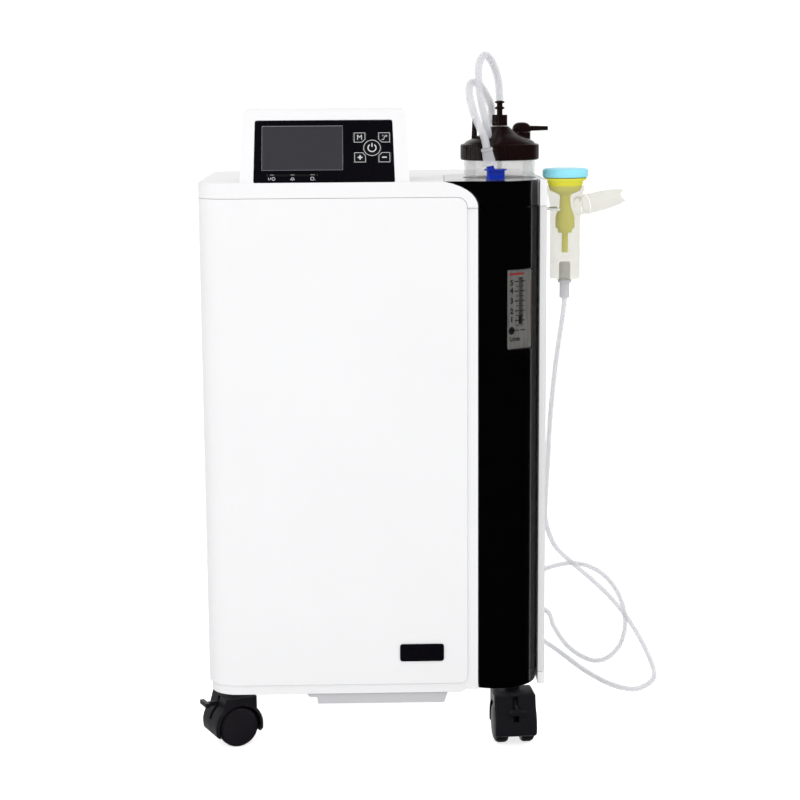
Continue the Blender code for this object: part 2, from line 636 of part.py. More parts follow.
def side_cover():
    """The white right side, its front edge turned in to meet the column."""
    path = [
        (COLUMN_RIGHT + 0.0010, 0.0570),
        (COLUMN_RIGHT + 0.0010, SIDE_FRONT),
        (RIGHT, SIDE_FRONT, 0.004),
        (RIGHT, SIDE_REAR),
    ]
    return place(
        "side_cover", prism_mesh("side", band(path, -WALL), BASE_TOP + GAP, RING_BOTTOM - GAP), WHITE, ROOT
    )


def around(middle, half):
    """The (low, high) pair on both sides of a middle."""
    return middle - half, middle + half


def slots(name, count, pitch, width, height, centre, depth, plane):
    """A row of upright vent slots, as cutters through a wall."""
    made = []
    for i in range(count):
        a = centre[0] + (i - (count - 1) / 2) * pitch
        outline = rounded(
            [
                (a - width / 2, centre[1] - height / 2, width * 0.45),
                (a + width / 2, centre[1] - height / 2, width * 0.45),
                (a + width / 2, centre[1] + height / 2, width * 0.45),
                (a - width / 2, centre[1] + height / 2, width * 0.45),
            ],
            2,
        )
        made.append(prism_mesh(f"{name}_{i}", outline, depth[0], depth[1], plane))
    return made


FILTER_X, FILTER_Z, FILTER_W, FILTER_H = -0.0900, 0.4700, 0.1300, 0.1300
SWITCH_X, SWITCH_Z = 0.0700, 0.1500
INLET_X, INLET_Z = 0.0150, 0.1500


def rear_cover():
    """The rear shell, which wraps both rear corners, with its filter window, vents and sockets."""
    path = [
        (RIGHT, SIDE_REAR + GAP),
        (RIGHT, BACK, REAR_CORNER),
        (LEFT, BACK, REAR_CORNER),
        (LEFT, DOOR_BACK + GAP),
    ]
    cover = place(
        "rear_cover", prism_mesh("rear", band(path, -WALL, 6), BASE_TOP + GAP, RING_BOTTOM - GAP), WHITE, ROOT
    )
    through = (BACK - 0.010, BACK + 0.010)
    half_w, half_h = FILTER_W / 2, FILTER_H / 2
    window = box_mesh("filter_window", around(FILTER_X, half_w), through, around(FILTER_Z, half_h))
    boolean(cover, "DIFFERENCE", window)
    boolean(cover, "DIFFERENCE", *slots("vent", 9, 0.0120, 0.0050, 0.0560, (0.0850, 0.3100), through, "XZ"))
    switch = box_mesh("switch_hole", around(SWITCH_X, 0.0108), through, around(SWITCH_Z, 0.0148))
    inlet = box_mesh("inlet_hole", around(INLET_X, 0.0143), through, around(INLET_Z, 0.0103))
    port = cylinder_mesh("port_hole", 0.0064, *through, axis="Y", centre=AIR_PORT, sides=16)
    boolean(cover, "DIFFERENCE", switch, inlet, port)
    return cover


def base_step(name, back):
    """The shallow step up under the base's right-front corner."""
    step = [
        (0.1015, BASE_Z - 0.01), (0.1015, BASE_Z), (0.1085, BASE_Z + BASE_STEP), (0.1942, BASE_Z + BASE_STEP),
        (0.1942, BASE_Z - 0.01),
    ]
    return prism_mesh(name, step, -0.01, back, "XZ")


def base_tray():
    """The base pan: its floor carries the casters, and its low wall shows below the side and rear covers."""
    inset = FACE_STEP + WALL + GAP
    radius = COLUMN_R - WALL - GAP
    arc_left = COLUMN_LEFT + WALL + GAP
    arc_start = -math.degrees(math.acos((arc_left + 0.0050 - COLUMN_X) / radius))
    outline = rounded(
        [
            (LEFT + inset, DOOR_BACK + GAP),
            (LEFT + inset, inset, FRONT_CORNER - inset),
            (DOOR_RIGHT - WALL - GAP, inset),
            (DOOR_RIGHT - WALL - GAP, DOOR_RETURN + GAP),
            (arc_left, DOOR_RETURN + GAP),
            (arc_left, 0.0112),
        ],
        6,
    )
    outline += arc(COLUMN_X, COLUMN_Y, radius, arc_start, 0, 12)
    outline += rounded(
        [
            (COLUMN_X + radius, 0.0594),
            (COLUMN_RIGHT + 0.0010, 0.0594),
            (COLUMN_RIGHT + 0.0010, SIDE_FRONT),
            (RIGHT, SIDE_FRONT, 0.004),
            (RIGHT, BACK, REAR_CORNER),
            (LEFT, BACK, REAR_CORNER),
            (LEFT, DOOR_BACK + GAP),
        ],
        6,
    )
    tray = place("base_tray", prism_mesh("floor", outline, BASE_Z + 0.0009, FLOOR_TOP), WHITE, ROOT)
    path = [
        (COLUMN_RIGHT + 0.0010, 0.0570),
        (COLUMN_RIGHT + 0.0010, SIDE_FRONT),
        (RIGHT, SIDE_FRONT, 0.004),
        (RIGHT, BACK, REAR_CORNER),
        (LEFT, BACK, REAR_CORNER),
        (LEFT, DOOR_BACK + GAP),
    ]
    boolean(tray, "UNION", prism_mesh("wall", band(path, -WALL, 6), FLOOR_TOP - 0.002, BASE_TOP))
    return boolean(tray, "DIFFERENCE", base_step("tray_step", CORNER_STEP))


def exhaust_duct():
    """The tapered grey exhaust duct under the base, open at its rear."""
    outer = [
        (DUCT_LEFT, BASE_Z + 0.0005),
        (DUCT_LEFT + 0.0055, BASE_Z - 0.0055),
        (DUCT_LEFT + 0.0140, BASE_Z - 0.0055),
        (DUCT_LEFT + 0.0150, DUCT_BOTTOM),
        (DUCT_RIGHT - 0.0050, DUCT_BOTTOM),
        (DUCT_RIGHT, BASE_Z + 0.0005),
    ]
    inner = [
        (DUCT_LEFT + 0.0165, BASE_Z - 0.0015),
        (DUCT_LEFT + 0.0175, DUCT_BOTTOM + 0.002),
        (DUCT_RIGHT - 0.0075, DUCT_BOTTOM + 0.002),
        (DUCT_RIGHT - 0.0045, BASE_Z - 0.0015),
    ]
    duct = place("exhaust_duct", prism_mesh("duct", outer, 0.0070, 0.1500, "XZ"), GREY, ROOT)
    return boolean(duct, "DIFFERENCE", prism_mesh("airway", inner, 0.0100, 0.1600, "XZ"))


def badge():
    outline = rounded(
        [
            (BADGE_LEFT, BADGE_LOW, 0.003),
            (BADGE_RIGHT, BADGE_LOW, 0.003),
            (BADGE_RIGHT, BADGE_HIGH, 0.003),
            (BADGE_LEFT, BADGE_HIGH, 0.003),
        ],
        3,
    )
    return place("badge", prism_mesh("badge", outline, -0.0013, -0.0003, "XZ"), BLACK_GLASS, ROOT)


def rear_fittings():
    """The filter and its cover, the grab handle, the mains inlet, the switch and the air port."""
    half_w, half_h = FILTER_W / 2 - GAP, FILTER_H / 2 - GAP
    foam_y = (BACK - 0.0150, BACK - WALL - GAP)
    foam = box_mesh("air_filter", around(FILTER_X, half_w), foam_y, around(FILTER_Z, half_h))
    place("air_filter", foam, FILTER, ROOT)
    cover = place(
        "filter_cover",
        box_mesh("lid", (-0.0010, FILTER_W + 0.0070), (-0.0022, 0.0022), (-half_h - 0.004, half_h + 0.004)),
        WHITE,
        ROOT,
        (FILTER_X - half_w - 0.0035, BACK + 0.0029, FILTER_Z),
    )
    louvres = [
        box_mesh(f"louvre_{i}", (0.014, FILTER_W - 0.008), (-0.01, 0.01), (z - 0.0028, z + 0.0028))
        for i, z in enumerate([(k - 3) * 0.0155 for k in range(7)])
    ]
    boolean(cover, "DIFFERENCE", *louvres)

    grip = [(-0.075, BACK + 0.0003), (-0.075, 0.3320), (-0.068, 0.3415), (-0.055, 0.3460)]
    grip += [(-x, y) for x, y in reversed(grip)]
    tube("rear_handle", [(x, y, 0.5950) for x, y in grip], 0.0075, BLACK_MATTE, 4)

    inlet_y = (BACK - 0.0220, BACK + 0.0008)
    body = box_mesh("inlet", around(INLET_X, 0.0140), inlet_y, around(INLET_Z, 0.0100))
    inlet = place("power_inlet", body, BLACK_MATTE, ROOT)
    flange_y = (BACK + 0.0003, BACK + 0.0025)
    flange = box_mesh("flange", around(INLET_X, 0.0240), flange_y, around(INLET_Z, 0.0130))
    socket_y = (BACK - 0.0170, BACK + 0.0100)
    socket = box_mesh("socket", around(INLET_X, 0.0120), socket_y, around(INLET_Z, 0.0080))
    boolean(inlet, "UNION", flange)
    boolean(inlet, "DIFFERENCE", socket)
    for i, (x, z) in enumerate(((-0.007, -0.002), (0.0, 0.003), (0.007, -0.002))):
        pin_y = (BACK - 0.0180, BACK - 0.0040)
        pin = box_mesh(f"pin_{i}", around(INLET_X + x, 0.001), pin_y, around(INLET_Z + z, 0.002))
        boolean(inlet, "UNION", pin)

    rocker_outline = [(-0.0035, -0.0128), (0.0034, -0.0128), (0.0014, 0.0), (0.0034, 0.0128), (-0.0035, 0.0128)]
    rocker = prism_mesh("rocker", rocker_outline, -0.0098, 0.0098, "YZ")
    place("rocker_switch", rocker, BLACK_MATTE, ROOT, (SWITCH_X, BACK - 0.0010, SWITCH_Z), (math.radians(-6), 0, 0))

    port_x, port_z = AIR_PORT
    profile = [
        (0.0012, 0.0132), (0.0026, 0.0132), (0.0034, 0.0105), (0.0028, 0.0095), (0.0034, 0.0070),
        (0.0028, 0.0060), (0.0028, 0.0040), (0.0090, 0.0034), (0.0090, 0.0004), (0.0058, 0.0004),
        (0.0058, -0.0100), (0.0012, -0.0100),
    ]
    turned("air_port", profile, BLACK_MATTE, ROOT, (port_x, BACK, port_z), 20, True, (-math.pi / 2, 0, 0))


# ---------------------------------------------------------------- console


def console():
    """The display glass with its screen, keys and lamps, each in the leaning frame of the console's face."""
    glass = place("display_panel", prism_mesh("glass", panel_outline(), -PANEL_THICKNESS, 0.0), BLACK_GLASS, CONSOLE)
    g = 0.0004
    through = (-0.01, 0.01)
    screen = box_mesh("screen_window", (LCD_LEFT - g, LCD_RIGHT + g), (LCD_LOW - g, LCD_HIGH + g), through)
    power = cylinder_mesh("power_hole", POWER_R + g, -0.01, 0.01, centre=(POWER_X, POWER_V), sides=28)
    lamps = box_mesh("lamp_window", (-0.1185, -0.0610), (0.0125, 0.0165), (-0.01, 0.01))
    boolean(glass, "DIFFERENCE", screen, power, lamps)
    crystal = box_mesh("lcd", (LCD_LEFT, LCD_RIGHT), (LCD_LOW, LCD_HIGH), (-0.0030, -0.0004))
    place("lcd_screen", crystal, LCD, CONSOLE)
    lights = box_mesh("lights", (-0.1181, -0.0614), (0.0129, 0.0161), (-0.0030, -0.0002))
    bar = place("status_lights", lights, BLACK_MATTE, CONSOLE)
    for i, x in enumerate((-0.1012, -0.0780)):
        boolean(bar, "DIFFERENCE", box_mesh(f"gap_{i}", around(x, 0.008), (0.01, 0.02), (-0.0008, 0.01)))

    for name, (x, v) in KEYS.items():
        # the corner nearest the power key is cut off
        a = 1 if x < POWER_X else -1
        b = 1 if v < POWER_V else -1
        w, h, c = KEY_WIDTH / 2, KEY_HEIGHT / 2, KEY_CHAMFER

        def key_outline(grow):
            cut = c - grow * 0.6
            square = [(-a * (w + grow), -b * (h + grow)), (a * (w + grow), -b * (h + grow))]
            square += [(a * (w + grow), b * (h + grow - cut)), (a * (w + grow - cut), b * (h + grow))]
            square += [(-a * (w + grow), b * (h + grow))]
            return square if a * b > 0 else square[::-1]

        hole = [(x + p, v + q) for p, q in key_outline(g)]
        boolean(glass, "DIFFERENCE", prism_mesh(f"{name}_hole", hole, -0.01, 0.01))
        key = prism_mesh(name, key_outline(0), -0.0024, BUTTON_PROUD)
        place(name, key, BUTTON, CONSOLE, (x, v, 0))
    cap = cylinder_mesh("power_button", POWER_R, -0.0024, BUTTON_PROUD, sides=28)
    place("power_button", cap, BUTTON, CONSOLE, (POWER_X, POWER_V, 0))


# ---------------------------------------------------------------- flowmeter and outlet


def flowmeter():
    """The clear flow tube block set in the column, with its float and the flow adjuster."""
    frame = empty("flowmeter_frame", ROOT, (FLOW_X, FLOW_Y, FLOW_Z), (0, 0, FLOW_TURN))
    half, tall = FLOW_WIDTH / 2, FLOW_HEIGHT / 2
    block = box_mesh("block", (-half, half), (0.0002, FLOW_DEPTH), (-tall, tall))
    body = place("flowmeter_body", block, SCALE, frame)
    slot = box_mesh("float_slot", (-0.0012, 0.0052), (-0.01, 0.0060), (-0.0177, 0.0370))
    well = cylinder_mesh("knob_hole", 0.0046, -0.01, 0.0070, axis="Y", centre=(-0.0115, -0.0247), sides=20)
    boolean(body, "DIFFERENCE", slot, well)
    profile = [
        (0.0, 0.0050), (0.0010, 0.0045), (0.0024, 0.0040), (0.0024, 0.0020), (0.0012, -0.0030), (0.0, -0.0048),
    ]
    turned("flow_float", profile, BLACK_MATTE, frame, (0.0020, 0.0031, -0.0125), 14)
    knob = place(
        "flow_knob",
        cylinder_mesh("knob", 0.0042, 0.0010, 0.0066, axis="Y", sides=20),
        BLACK_MATTE,
        frame,
        (-0.0115, 0, -0.0247),
    )
    slot = box_mesh("driver_slot", (-0.0034, 0.0034), (-0.01, 0.0022), (-0.0006, 0.0006))
    boolean(knob, "DIFFERENCE", slot)


def oxygen_outlet():
    """The blue lobed outlet on the deck, with its tail through the deck and a stub that leans to the hose."""
    profile = [
        (0.0, 0.0128), (0.0119, 0.0128), (OUTLET_R, 0.0120), (OUTLET_R, 0.0108), (0.0098, 0.0094),
        (0.0104, 0.0070), (0.0115, 0.0050), (0.0115, 0.0004), (0.0044, 0.0004), (0.0044, -0.0120),
        (0.0, -0.0120),
    ]
    outlet = turned("oxygen_outlet", profile, BLUE, ROOT, (OUTLET_X, OUTLET_Y, LID_Z), 24)
    stub = cylinder_mesh("stub", 0.0052, -0.004, 0.0034, sides=16, top_radius=0.0042)
    stub.transform(Matrix.Translation((-0.0060, -0.0028, 0.0125)) @ Matrix.Rotation(math.radians(-12), 4, "Y"))
    boolean(outlet, "UNION", stub)


# ---------------------------------------------------------------- humidifier


def humidifier():
    """The bubble humidifier: clear bottle, screw cap with its relief valve, inlet nut, outlet elbow and dip tube."""
    here = (BOTTLE_X, BOTTLE_Y, 0)
    r, low = BOTTLE_R, BOTTLE_BOTTOM
    rim = COLLAR_TOP - 0.0040
    bottle = [
        (0.0, low + 0.0020), (r - 0.0090, low + 0.0020), (r - 0.0028, low + 0.0070), (r - 0.0028, rim),
        (r - 0.0006, rim), (r - 0.0006, COLLAR_BOTTOM - 0.0010), (r, COLLAR_BOTTOM - 0.0025),
        (r, COLLAR_BOTTOM - 0.0060), (r - 0.0008, COLLAR_BOTTOM - 0.0075), (r - 0.0008, low + 0.0060),
        (r - 0.0040, low + 0.0010), (r - 0.0080, low), (0.0, low),
    ]
    turned("humidifier_bottle", bottle, CLEAR, ROOT, here, 32)

    cap_profile = [
        (0.0032, CONE_TOP), (0.0105, CONE_TOP), (0.0150, CONE_TOP - 0.0040), (0.0250, CONE_TOP - 0.0105),
        (0.0400, COLLAR_TOP + 0.0030), (0.0430, COLLAR_TOP), (COLLAR_R - 0.0010, COLLAR_TOP),
        (COLLAR_R, COLLAR_TOP - 0.0010), (COLLAR_R, COLLAR_BOTTOM + 0.0008), (COLLAR_R - 0.0008, COLLAR_BOTTOM),
        (r + 0.0010, COLLAR_BOTTOM), (r + 0.0010, COLLAR_TOP - 0.0030), (0.0380, COLLAR_TOP + 0.0002),
        (0.0140, CONE_TOP - CAP_WALL), (0.0032, CONE_TOP - CAP_WALL),
    ]
    cap = turned("humidifier_cap", cap_profile, BROWN, ROOT, here, 32, True)
    valve = cylinder_mesh("relief_valve", 0.0040, 0.7130, 0.7450, centre=(-0.0300, 0.0), sides=14, top_radius=0.0024)
    boss_at = (ELBOW_X - BOTTLE_X, ELBOW_Y - BOTTLE_Y)
    boss = cylinder_mesh("elbow_boss", ELBOW_R - 0.0004, 0.7138, ELBOW_Z - GAP, centre=boss_at, sides=22)
    boolean(cap, "UNION", valve, boss)

    nut = [
        (0.0011, BARB_TOP), (0.0030, BARB_TOP), (0.0058, 0.7655), (0.0058, 0.7640), (0.0034, 0.7628),
        (0.0034, 0.7600), (0.0058, 0.7585), (0.0058, 0.7570), (0.0034, 0.7560), (0.0034, NUT_TOP),
        (NUT_R, NUT_TOP), (NUT_R, NUT_BOTTOM), (0.0011, NUT_BOTTOM),
    ]
    turned("inlet_nut", nut, BROWN, ROOT, here, 18, True)

    dome = [
        (0.0, 0.0116), (0.0045, 0.0113), (0.0080, 0.0099), (0.0102, 0.0075), (ELBOW_R, 0.0042), (ELBOW_R, 0.0), (0.0, 0.0),
    ]
    elbow = turned("outlet_elbow", dome, BROWN, ROOT, (ELBOW_X, ELBOW_Y, ELBOW_Z), 24)
    across = (0.0, 0.0042)
    spigot = cylinder_mesh("spigot", 0.0034, 0.0020, 0.0315, axis="X", centre=across, sides=14, top_radius=0.0025)
    bore = cylinder_mesh("bore", 0.0013, 0.0080, 0.0330, axis="X", centre=across, sides=10)
    boolean(elbow, "UNION", spigot)
    boolean(elbow, "DIFFERENCE", bore)

    top = CONE_TOP - CAP_WALL - GAP
    tube_profile = [
        (0.0, top), (0.0070, top), (0.0070, top - 0.0060), (0.0028, top - 0.0080), (0.0028, 0.5730),
        (0.0075, 0.5700), (0.0075, 0.5560), (0.0, 0.5545),
    ]
    turned("diffuser_tube", tube_profile, FROSTED, ROOT, here, 16)


# ---------------------------------------------------------------- hoses


def hoses():
    """The two hoses and the clear cuff that joins one of them to the outlet."""
    tube("nebulizer_hose", smooth_route(NEBULIZER_HOSE, 0.0220), HOSE_R, HOSE)
    tube("humidifier_hose", smooth_route(HUMIDIFIER_HOSE, 0.0080), SHORT_HOSE_R, HOSE)
    foot, head = Vector((0.1378, 0.0320, 0.6935)), Vector(HUMIDIFIER_HOSE[0]) - Vector((0, 0, 0.0006))
    length = (head - foot).length
    profile = [
        (0.0, length), (0.0058, length), (0.0070, length - 0.0010), (0.0070, length - 0.0030), (0.0062, length - 0.0040),
        (0.0074, 0.0030), (0.0084, 0.0020), (0.0084, 0.0), (0.0060, 0.0), (0.0060, 0.0030), (0.0, 0.0030),
    ]
    cuff = turned("hose_cuff", profile, CLEAR, ROOT, foot, 16)
    cuff.rotation_euler = (head - foot).to_track_quat("Z", "Y").to_euler()


# ---------------------------------------------------------------- nebulizer


def nebulizer():
    """The nebulizer cup on its side bracket, with lid, insert, mouthpiece and hose connector."""
    here = (CUP_X, CUP_Y, 0)
    r, w = CUP_R, CUP_WALL
    plate_y = (CUP_Y - 0.0150, CUP_Y + 0.0150)
    plate = box_mesh("plate", (RIGHT + 0.0003, RIGHT + 0.0030), plate_y, (0.6020, 0.6430))
    bracket = place("nebulizer_bracket", plate, WHITE, ROOT)
    fork = arc(CUP_X, CUP_Y, r + 0.0040, -FORK_OPENING, FORK_OPENING - 360, 20)
    fork += arc(CUP_X, CUP_Y, r + 0.0006, FORK_OPENING - 360, -FORK_OPENING, 20)
    bridge_y = (CUP_Y - 0.0090, CUP_Y + 0.0090)
    bridge = box_mesh("bridge", (RIGHT + 0.0010, CUP_X - r - 0.0012), bridge_y, (FORK_LOW, FORK_HIGH))
    boolean(bracket, "UNION", prism_mesh("fork", fork, FORK_LOW, FORK_HIGH), bridge)

    cup = [
        (r + 0.0045, CUP_TOP), (r + 0.0045 + w, CUP_TOP), (r + 0.0030, 0.6560), (r + 0.0004, 0.6440), (r, 0.6400),
        (r, CUP_BOTTOM + 0.0010), (r - 0.0010, CUP_BOTTOM), (0.0078, CUP_BOTTOM), (0.0078, CUP_BOTTOM + w),
        (r - w - 0.0010, CUP_BOTTOM + w), (r - w, CUP_BOTTOM + w + 0.0010), (r - w, 0.6405), (r - w + 0.0004, 0.6445),
        (r + 0.0030 - w, 0.6565),
    ]
    body = turned("nebulizer_cup", cup, FROSTED, ROOT, here, 28, True)
    aim = Matrix.Translation((0, 0, PORT_Z)) @ Matrix.Rotation(PORT_TURN, 4, "Z") @ Matrix.Rotation(PORT_TILT, 4, "Y")
    port = cylinder_mesh("port", PORT_R, 0.0170, 0.0280, axis="X", sides=20)
    port.transform(aim)
    mouth = cylinder_mesh("port_bore", PORT_R - 0.0014, 0.0120, 0.0320, axis="X", sides=20)
    mouth.transform(aim)
    boolean(body, "UNION", port)
    boolean(body, "DIFFERENCE", mouth)

    flange_low, flange_high = CUP_TOP + GAP, 0.6752
    insert = [
        (0.0, 0.6610), (0.0150, 0.6640), (0.0206, 0.6662), (0.0206, flange_high), (0.0262, flange_high),
        (0.0246, flange_low), (0.0222, flange_low), (0.0180, 0.6600), (0.0066, 0.6540), (0.0062, 0.6500),
        (0.0070, 0.6400), (0.0112, 0.6290), (0.0112, 0.6120), (0.0070, 0.5990), (0.0036, 0.5930),
        (0.0036, 0.5800), (0.0, 0.5800),
    ]
    turned("nebulizer_core", insert, YELLOW, ROOT, here, 24)

    lid = [(0.0, 0.6868), (0.0250, 0.6862), (0.0272, 0.6845), (0.0274, 0.6770), (0.0268, 0.6757), (0.0, 0.6757)]
    turned("nebulizer_lid", lid, LIGHT_BLUE, ROOT, here, 28)

    connector = [
        (0.0, 0.5745), (0.0060, 0.5745), (0.0068, 0.5710), (0.0068, 0.5536), (0.0085, 0.5532), (0.0085, 0.5500),
        (0.0062, 0.5494), (0.0062, 0.5320), (0.0066, 0.5316), (0.0, 0.5312),
    ]
    turned("hose_connector", connector, FROSTED_GREY, ROOT, here, 16)
    mouthpiece()


def mouthpiece():
    """The flattened mouthpiece: a round socket that flares out into an oval bill."""
    stations = [
        (0.0286, 0.0130, 0.0130), (0.0370, 0.0134, 0.0130), (0.0480, 0.0142, 0.0127), (0.0600, 0.0147, 0.0119),
        (0.0690, 0.0144, 0.0106), (0.0745, 0.0134, 0.0088), (0.0776, 0.0118, 0.0068),
    ]
    sides = 18
    shape = bmesh.new()
    rings = []
    for inner in (False, True):
        for x, wide, tall in stations:
            thin = 0.0014 if inner else 0.0
            ring = [
                shape.verts.new((x, (wide - thin) * math.cos(a), (tall - thin) * math.sin(a)))
                for a in (2 * math.pi * k / sides for k in range(sides))
            ]
            rings.append(ring)
    count = len(stations)
    order = rings[:count] + rings[count:][::-1]
    for i, ring in enumerate(order):
        after = order[(i + 1) % len(order)]
        for k in range(sides):
            m = (k + 1) % sides
            shape.faces.new((ring[k], ring[m], after[m], after[k]))
    bmesh.ops.recalc_face_normals(shape, faces=shape.faces)
    mesh = bpy.data.meshes.new("mouthpiece")
    shape.to_mesh(mesh)
    shape.free()
    place("mouthpiece", mesh, FROSTED, ROOT, (CUP_X, CUP_Y, PORT_Z), (0, PORT_TILT, PORT_TURN))


# ---------------------------------------------------------------- casters


def hood_mesh():
    """A caster's hood seen from the side: round over the wheels, with a flat neck on top."""
    centre_z = WHEEL_R + 0.0005
    outline = arc(TRAIL, centre_z, HOOD_R, -22, 48, 7)
    outline += [(TRAIL + 0.0165, 0.0618), (TRAIL + 0.0150, 0.0636), (TRAIL - 0.0210, 0.0636), (TRAIL - 0.0225, 0.0610)]
    outline += arc(TRAIL, centre_z, HOOD_R, 138, 196, 6)
    return prism_mesh("hood", outline, -HOOD_HALF, HOOD_HALF, "XZ")


def caster(name, x, y, heading, lever_angle):
    """One twin-wheel caster in the frame of its swivel axis; the brake lever is on its +X side."""
    swivel = empty(f"caster_{name}_swivel", ROOT, (x, y, 0), (0, 0, math.radians(heading)))
    centre_z = WHEEL_R
    hood = place(f"caster_{name}_housing", hood_mesh(), BLACK_MATTE, swivel)
    bevel(hood, 0.0030, 1)
    for side in (-1, 1):
        low, high = sorted((side * WEB_HALF, side * (HOOD_HALF + 0.005)))
        boolean(hood, "DIFFERENCE", cylinder_mesh(f"wheel_room_{side}", 0.0268, low, high, "Y", (TRAIL, centre_z), 28))
    lift = BASE_STEP - 0.0009 if name == "front_right" else 0.0
    stem = cylinder_mesh("stem", 0.0090, 0.0610, BASE_Z + 0.0005 + lift, sides=20)
    boolean(hood, "UNION", stem)
    axle = cylinder_mesh("axle_bore", AXLE_R + 0.0004, -0.02, 0.02, "Y", (TRAIL, centre_z), 16)
    slot = box_mesh("lever_slot", (TRAIL + 0.0105, TRAIL + 0.05), (-0.0031, 0.0031), (0.0330, 0.0610))
    boolean(hood, "DIFFERENCE", axle, slot)

    r, a, b = WHEEL_R, WHEEL_INNER, WHEEL_OUTER
    half = [(0.0190, b), (r - 0.0018, b - 0.0020), (r, b - 0.0055), (r, a + 0.0030), (r - 0.0020, a), (AXLE_R, a)]
    profile = [(0.0, b + 0.0002)] + half + [(p, -q) for p, q in reversed(half)] + [(0.0, -b - 0.0002)]
    turned(
        f"caster_{name}_wheels", profile, TYRE, swivel, (TRAIL, 0, centre_z), 24, rotation=(math.pi / 2, 0, 0)
    )
    if lever_angle is None:
        return
    pivot = (TRAIL + 0.0150, 0, 0.0520)
    lever = place(
        f"caster_{name}_brake_lever",
        box_mesh("arm", (-0.0030, 0.0200), (-0.0024, 0.0024), (-0.0022, 0.0030)),
        BLACK_MATTE,
        swivel,
        pivot,
        (0, math.radians(lever_angle), 0),
    )
    bar = box_mesh("bar", (0.0178, 0.0232), (-0.0105, 0.0105), (-0.0012, 0.0042))
    boolean(lever, "UNION", bar)


# ---------------------------------------------------------------- inside the cabinet


def internals():
    """The frame plate, compressor, sieve beds, product tank, valve block, cooling fan and control board."""
    frame = place(
        "inner_frame", box_mesh("plate", (-0.0350, -0.0330), (0.0150, 0.2900), (0.0795, 0.6200)), STEEL, ROOT
    )
    shelf = box_mesh("shelf", (-0.1900, -0.0340), (0.0450, 0.2800), (0.2800, 0.2820))
    foot = box_mesh("foot", (-0.0345, 0.0100), (0.0300, 0.2900), (0.0795, 0.0815))
    boolean(frame, "UNION", shelf, foot)
    boolean(frame, "DIFFERENCE", cylinder_mesh("fan_hole", 0.0560, 0.2700, 0.2900, centre=FAN, sides=32))

    motor = cylinder_mesh("motor", 0.0400, -0.1750, -0.0550, "X", (0.1600, 0.1400), 24)
    body = place("compressor", motor, ALUMINIUM, ROOT)
    heads = [
        box_mesh(f"head_{i}", (x - 0.0200, x + 0.0200), (0.1350, 0.1850), (0.1600, 0.2150))
        for i, x in enumerate((-0.1500, -0.0800))
    ]
    feet = [
        cylinder_mesh(f"foot_{i}_{j}", 0.0100, 0.0796, 0.1200, centre=(x, y), sides=12)
        for i, x in enumerate((-0.1550, -0.0750))
        for j, y in enumerate((0.1400, 0.1800))
    ]
    boolean(body, "UNION", *heads, *feet)

    bed = [(0.0, 0.4300), (0.0300, 0.4300), (0.0340, 0.4260), (0.0340, 0.0860), (0.0300, 0.0820), (0.0, 0.0820)]
    turned("sieve_bed_left", bed, ALUMINIUM, ROOT, (0.0500, 0.2250, 0), 18)
    turned("sieve_bed_right", bed, ALUMINIUM, ROOT, (0.1300, 0.2250, 0), 18)
    tank = [(0.0, 0.3900), (0.0200, 0.3880), (0.0320, 0.3780), (0.0320, 0.0940), (0.0200, 0.0840), (0.0, 0.0820)]
    turned("oxygen_tank", tank, STEEL, ROOT, (0.0600, 0.0900, 0), 18)
    manifold = box_mesh("block", (0.0300, 0.1500), (0.2000, 0.2500), (0.4304, 0.4650))
    block = place("valve_block", manifold, ALUMINIUM, ROOT)
    for i, x in enumerate((0.0550, 0.0900, 0.1250)):
        boolean(block, "UNION", cylinder_mesh(f"coil_{i}", 0.0110, 0.4600, 0.4950, centre=(x, 0.2250), sides=16))

    hub = cylinder_mesh("hub", 0.0170, -0.0100, 0.0100, sides=20)
    fan = place("cooling_fan", hub, BLACK_MATTE, ROOT, (*FAN, 0.2810))
    for i in range(7):
        blade = box_mesh(f"blade_{i}", (0.0100, 0.0530), (-0.0120, 0.0120), (-0.0008, 0.0008))
        turn = Matrix.Rotation(2 * math.pi * i / 7, 4, "Z") @ Matrix.Rotation(math.radians(28), 4, "X")
        blade.transform(turn)
        boolean(fan, "UNION", blade)

    panel = box_mesh("board", (-0.0420, -0.0404), (0.0600, 0.2400), (0.3700, 0.5600))
    board = place("circuit_board", panel, BOARD, ROOT)
    parts = [
        box_mesh("transformer", (-0.0700, -0.0410), (0.0800, 0.1200), (0.3900, 0.4300)),
        box_mesh("heat_sink", (-0.0620, -0.0410), (0.1700, 0.2200), (0.3900, 0.4200)),
        box_mesh("relay", (-0.0560, -0.0410), (0.1000, 0.1300), (0.5000, 0.5300)),
    ]
    boolean(board, "UNION", *parts)


front_panel()
top_cover()
column_shell()
column_deck()
side_cover()
rear_cover()
base_tray()
exhaust_duct()
badge()
rear_fittings()
console()
flowmeter()
oxygen_outlet()
humidifier()
hoses()
nebulizer()
for caster_name, (at_x, at_y, turned_to, lever) in CASTERS.items():
    caster(caster_name, at_x, at_y, turned_to, lever)
internals()

bpy.context.view_layer.update()
for piece in pieces.objects:
    if piece.type == "MESH" and len(piece.data.polygons):
        piece.data.shade_smooth()
        piece.data.set_sharp_from_angle(angle=math.radians(35))
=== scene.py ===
"""The looks of a floor-standing oxygen concentrator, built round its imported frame.

It is in metres, +Z up, with the front to -Y. New pieces are drawn in the cabinet frame: x = 0 on the middle
of the cabinet's width, y = 0 on the door's face and z = 0 on the floor. ORIGIN is where that frame stands.
"""

import json
import math

import bmesh
import bpy
from mathutils import Matrix, Vector

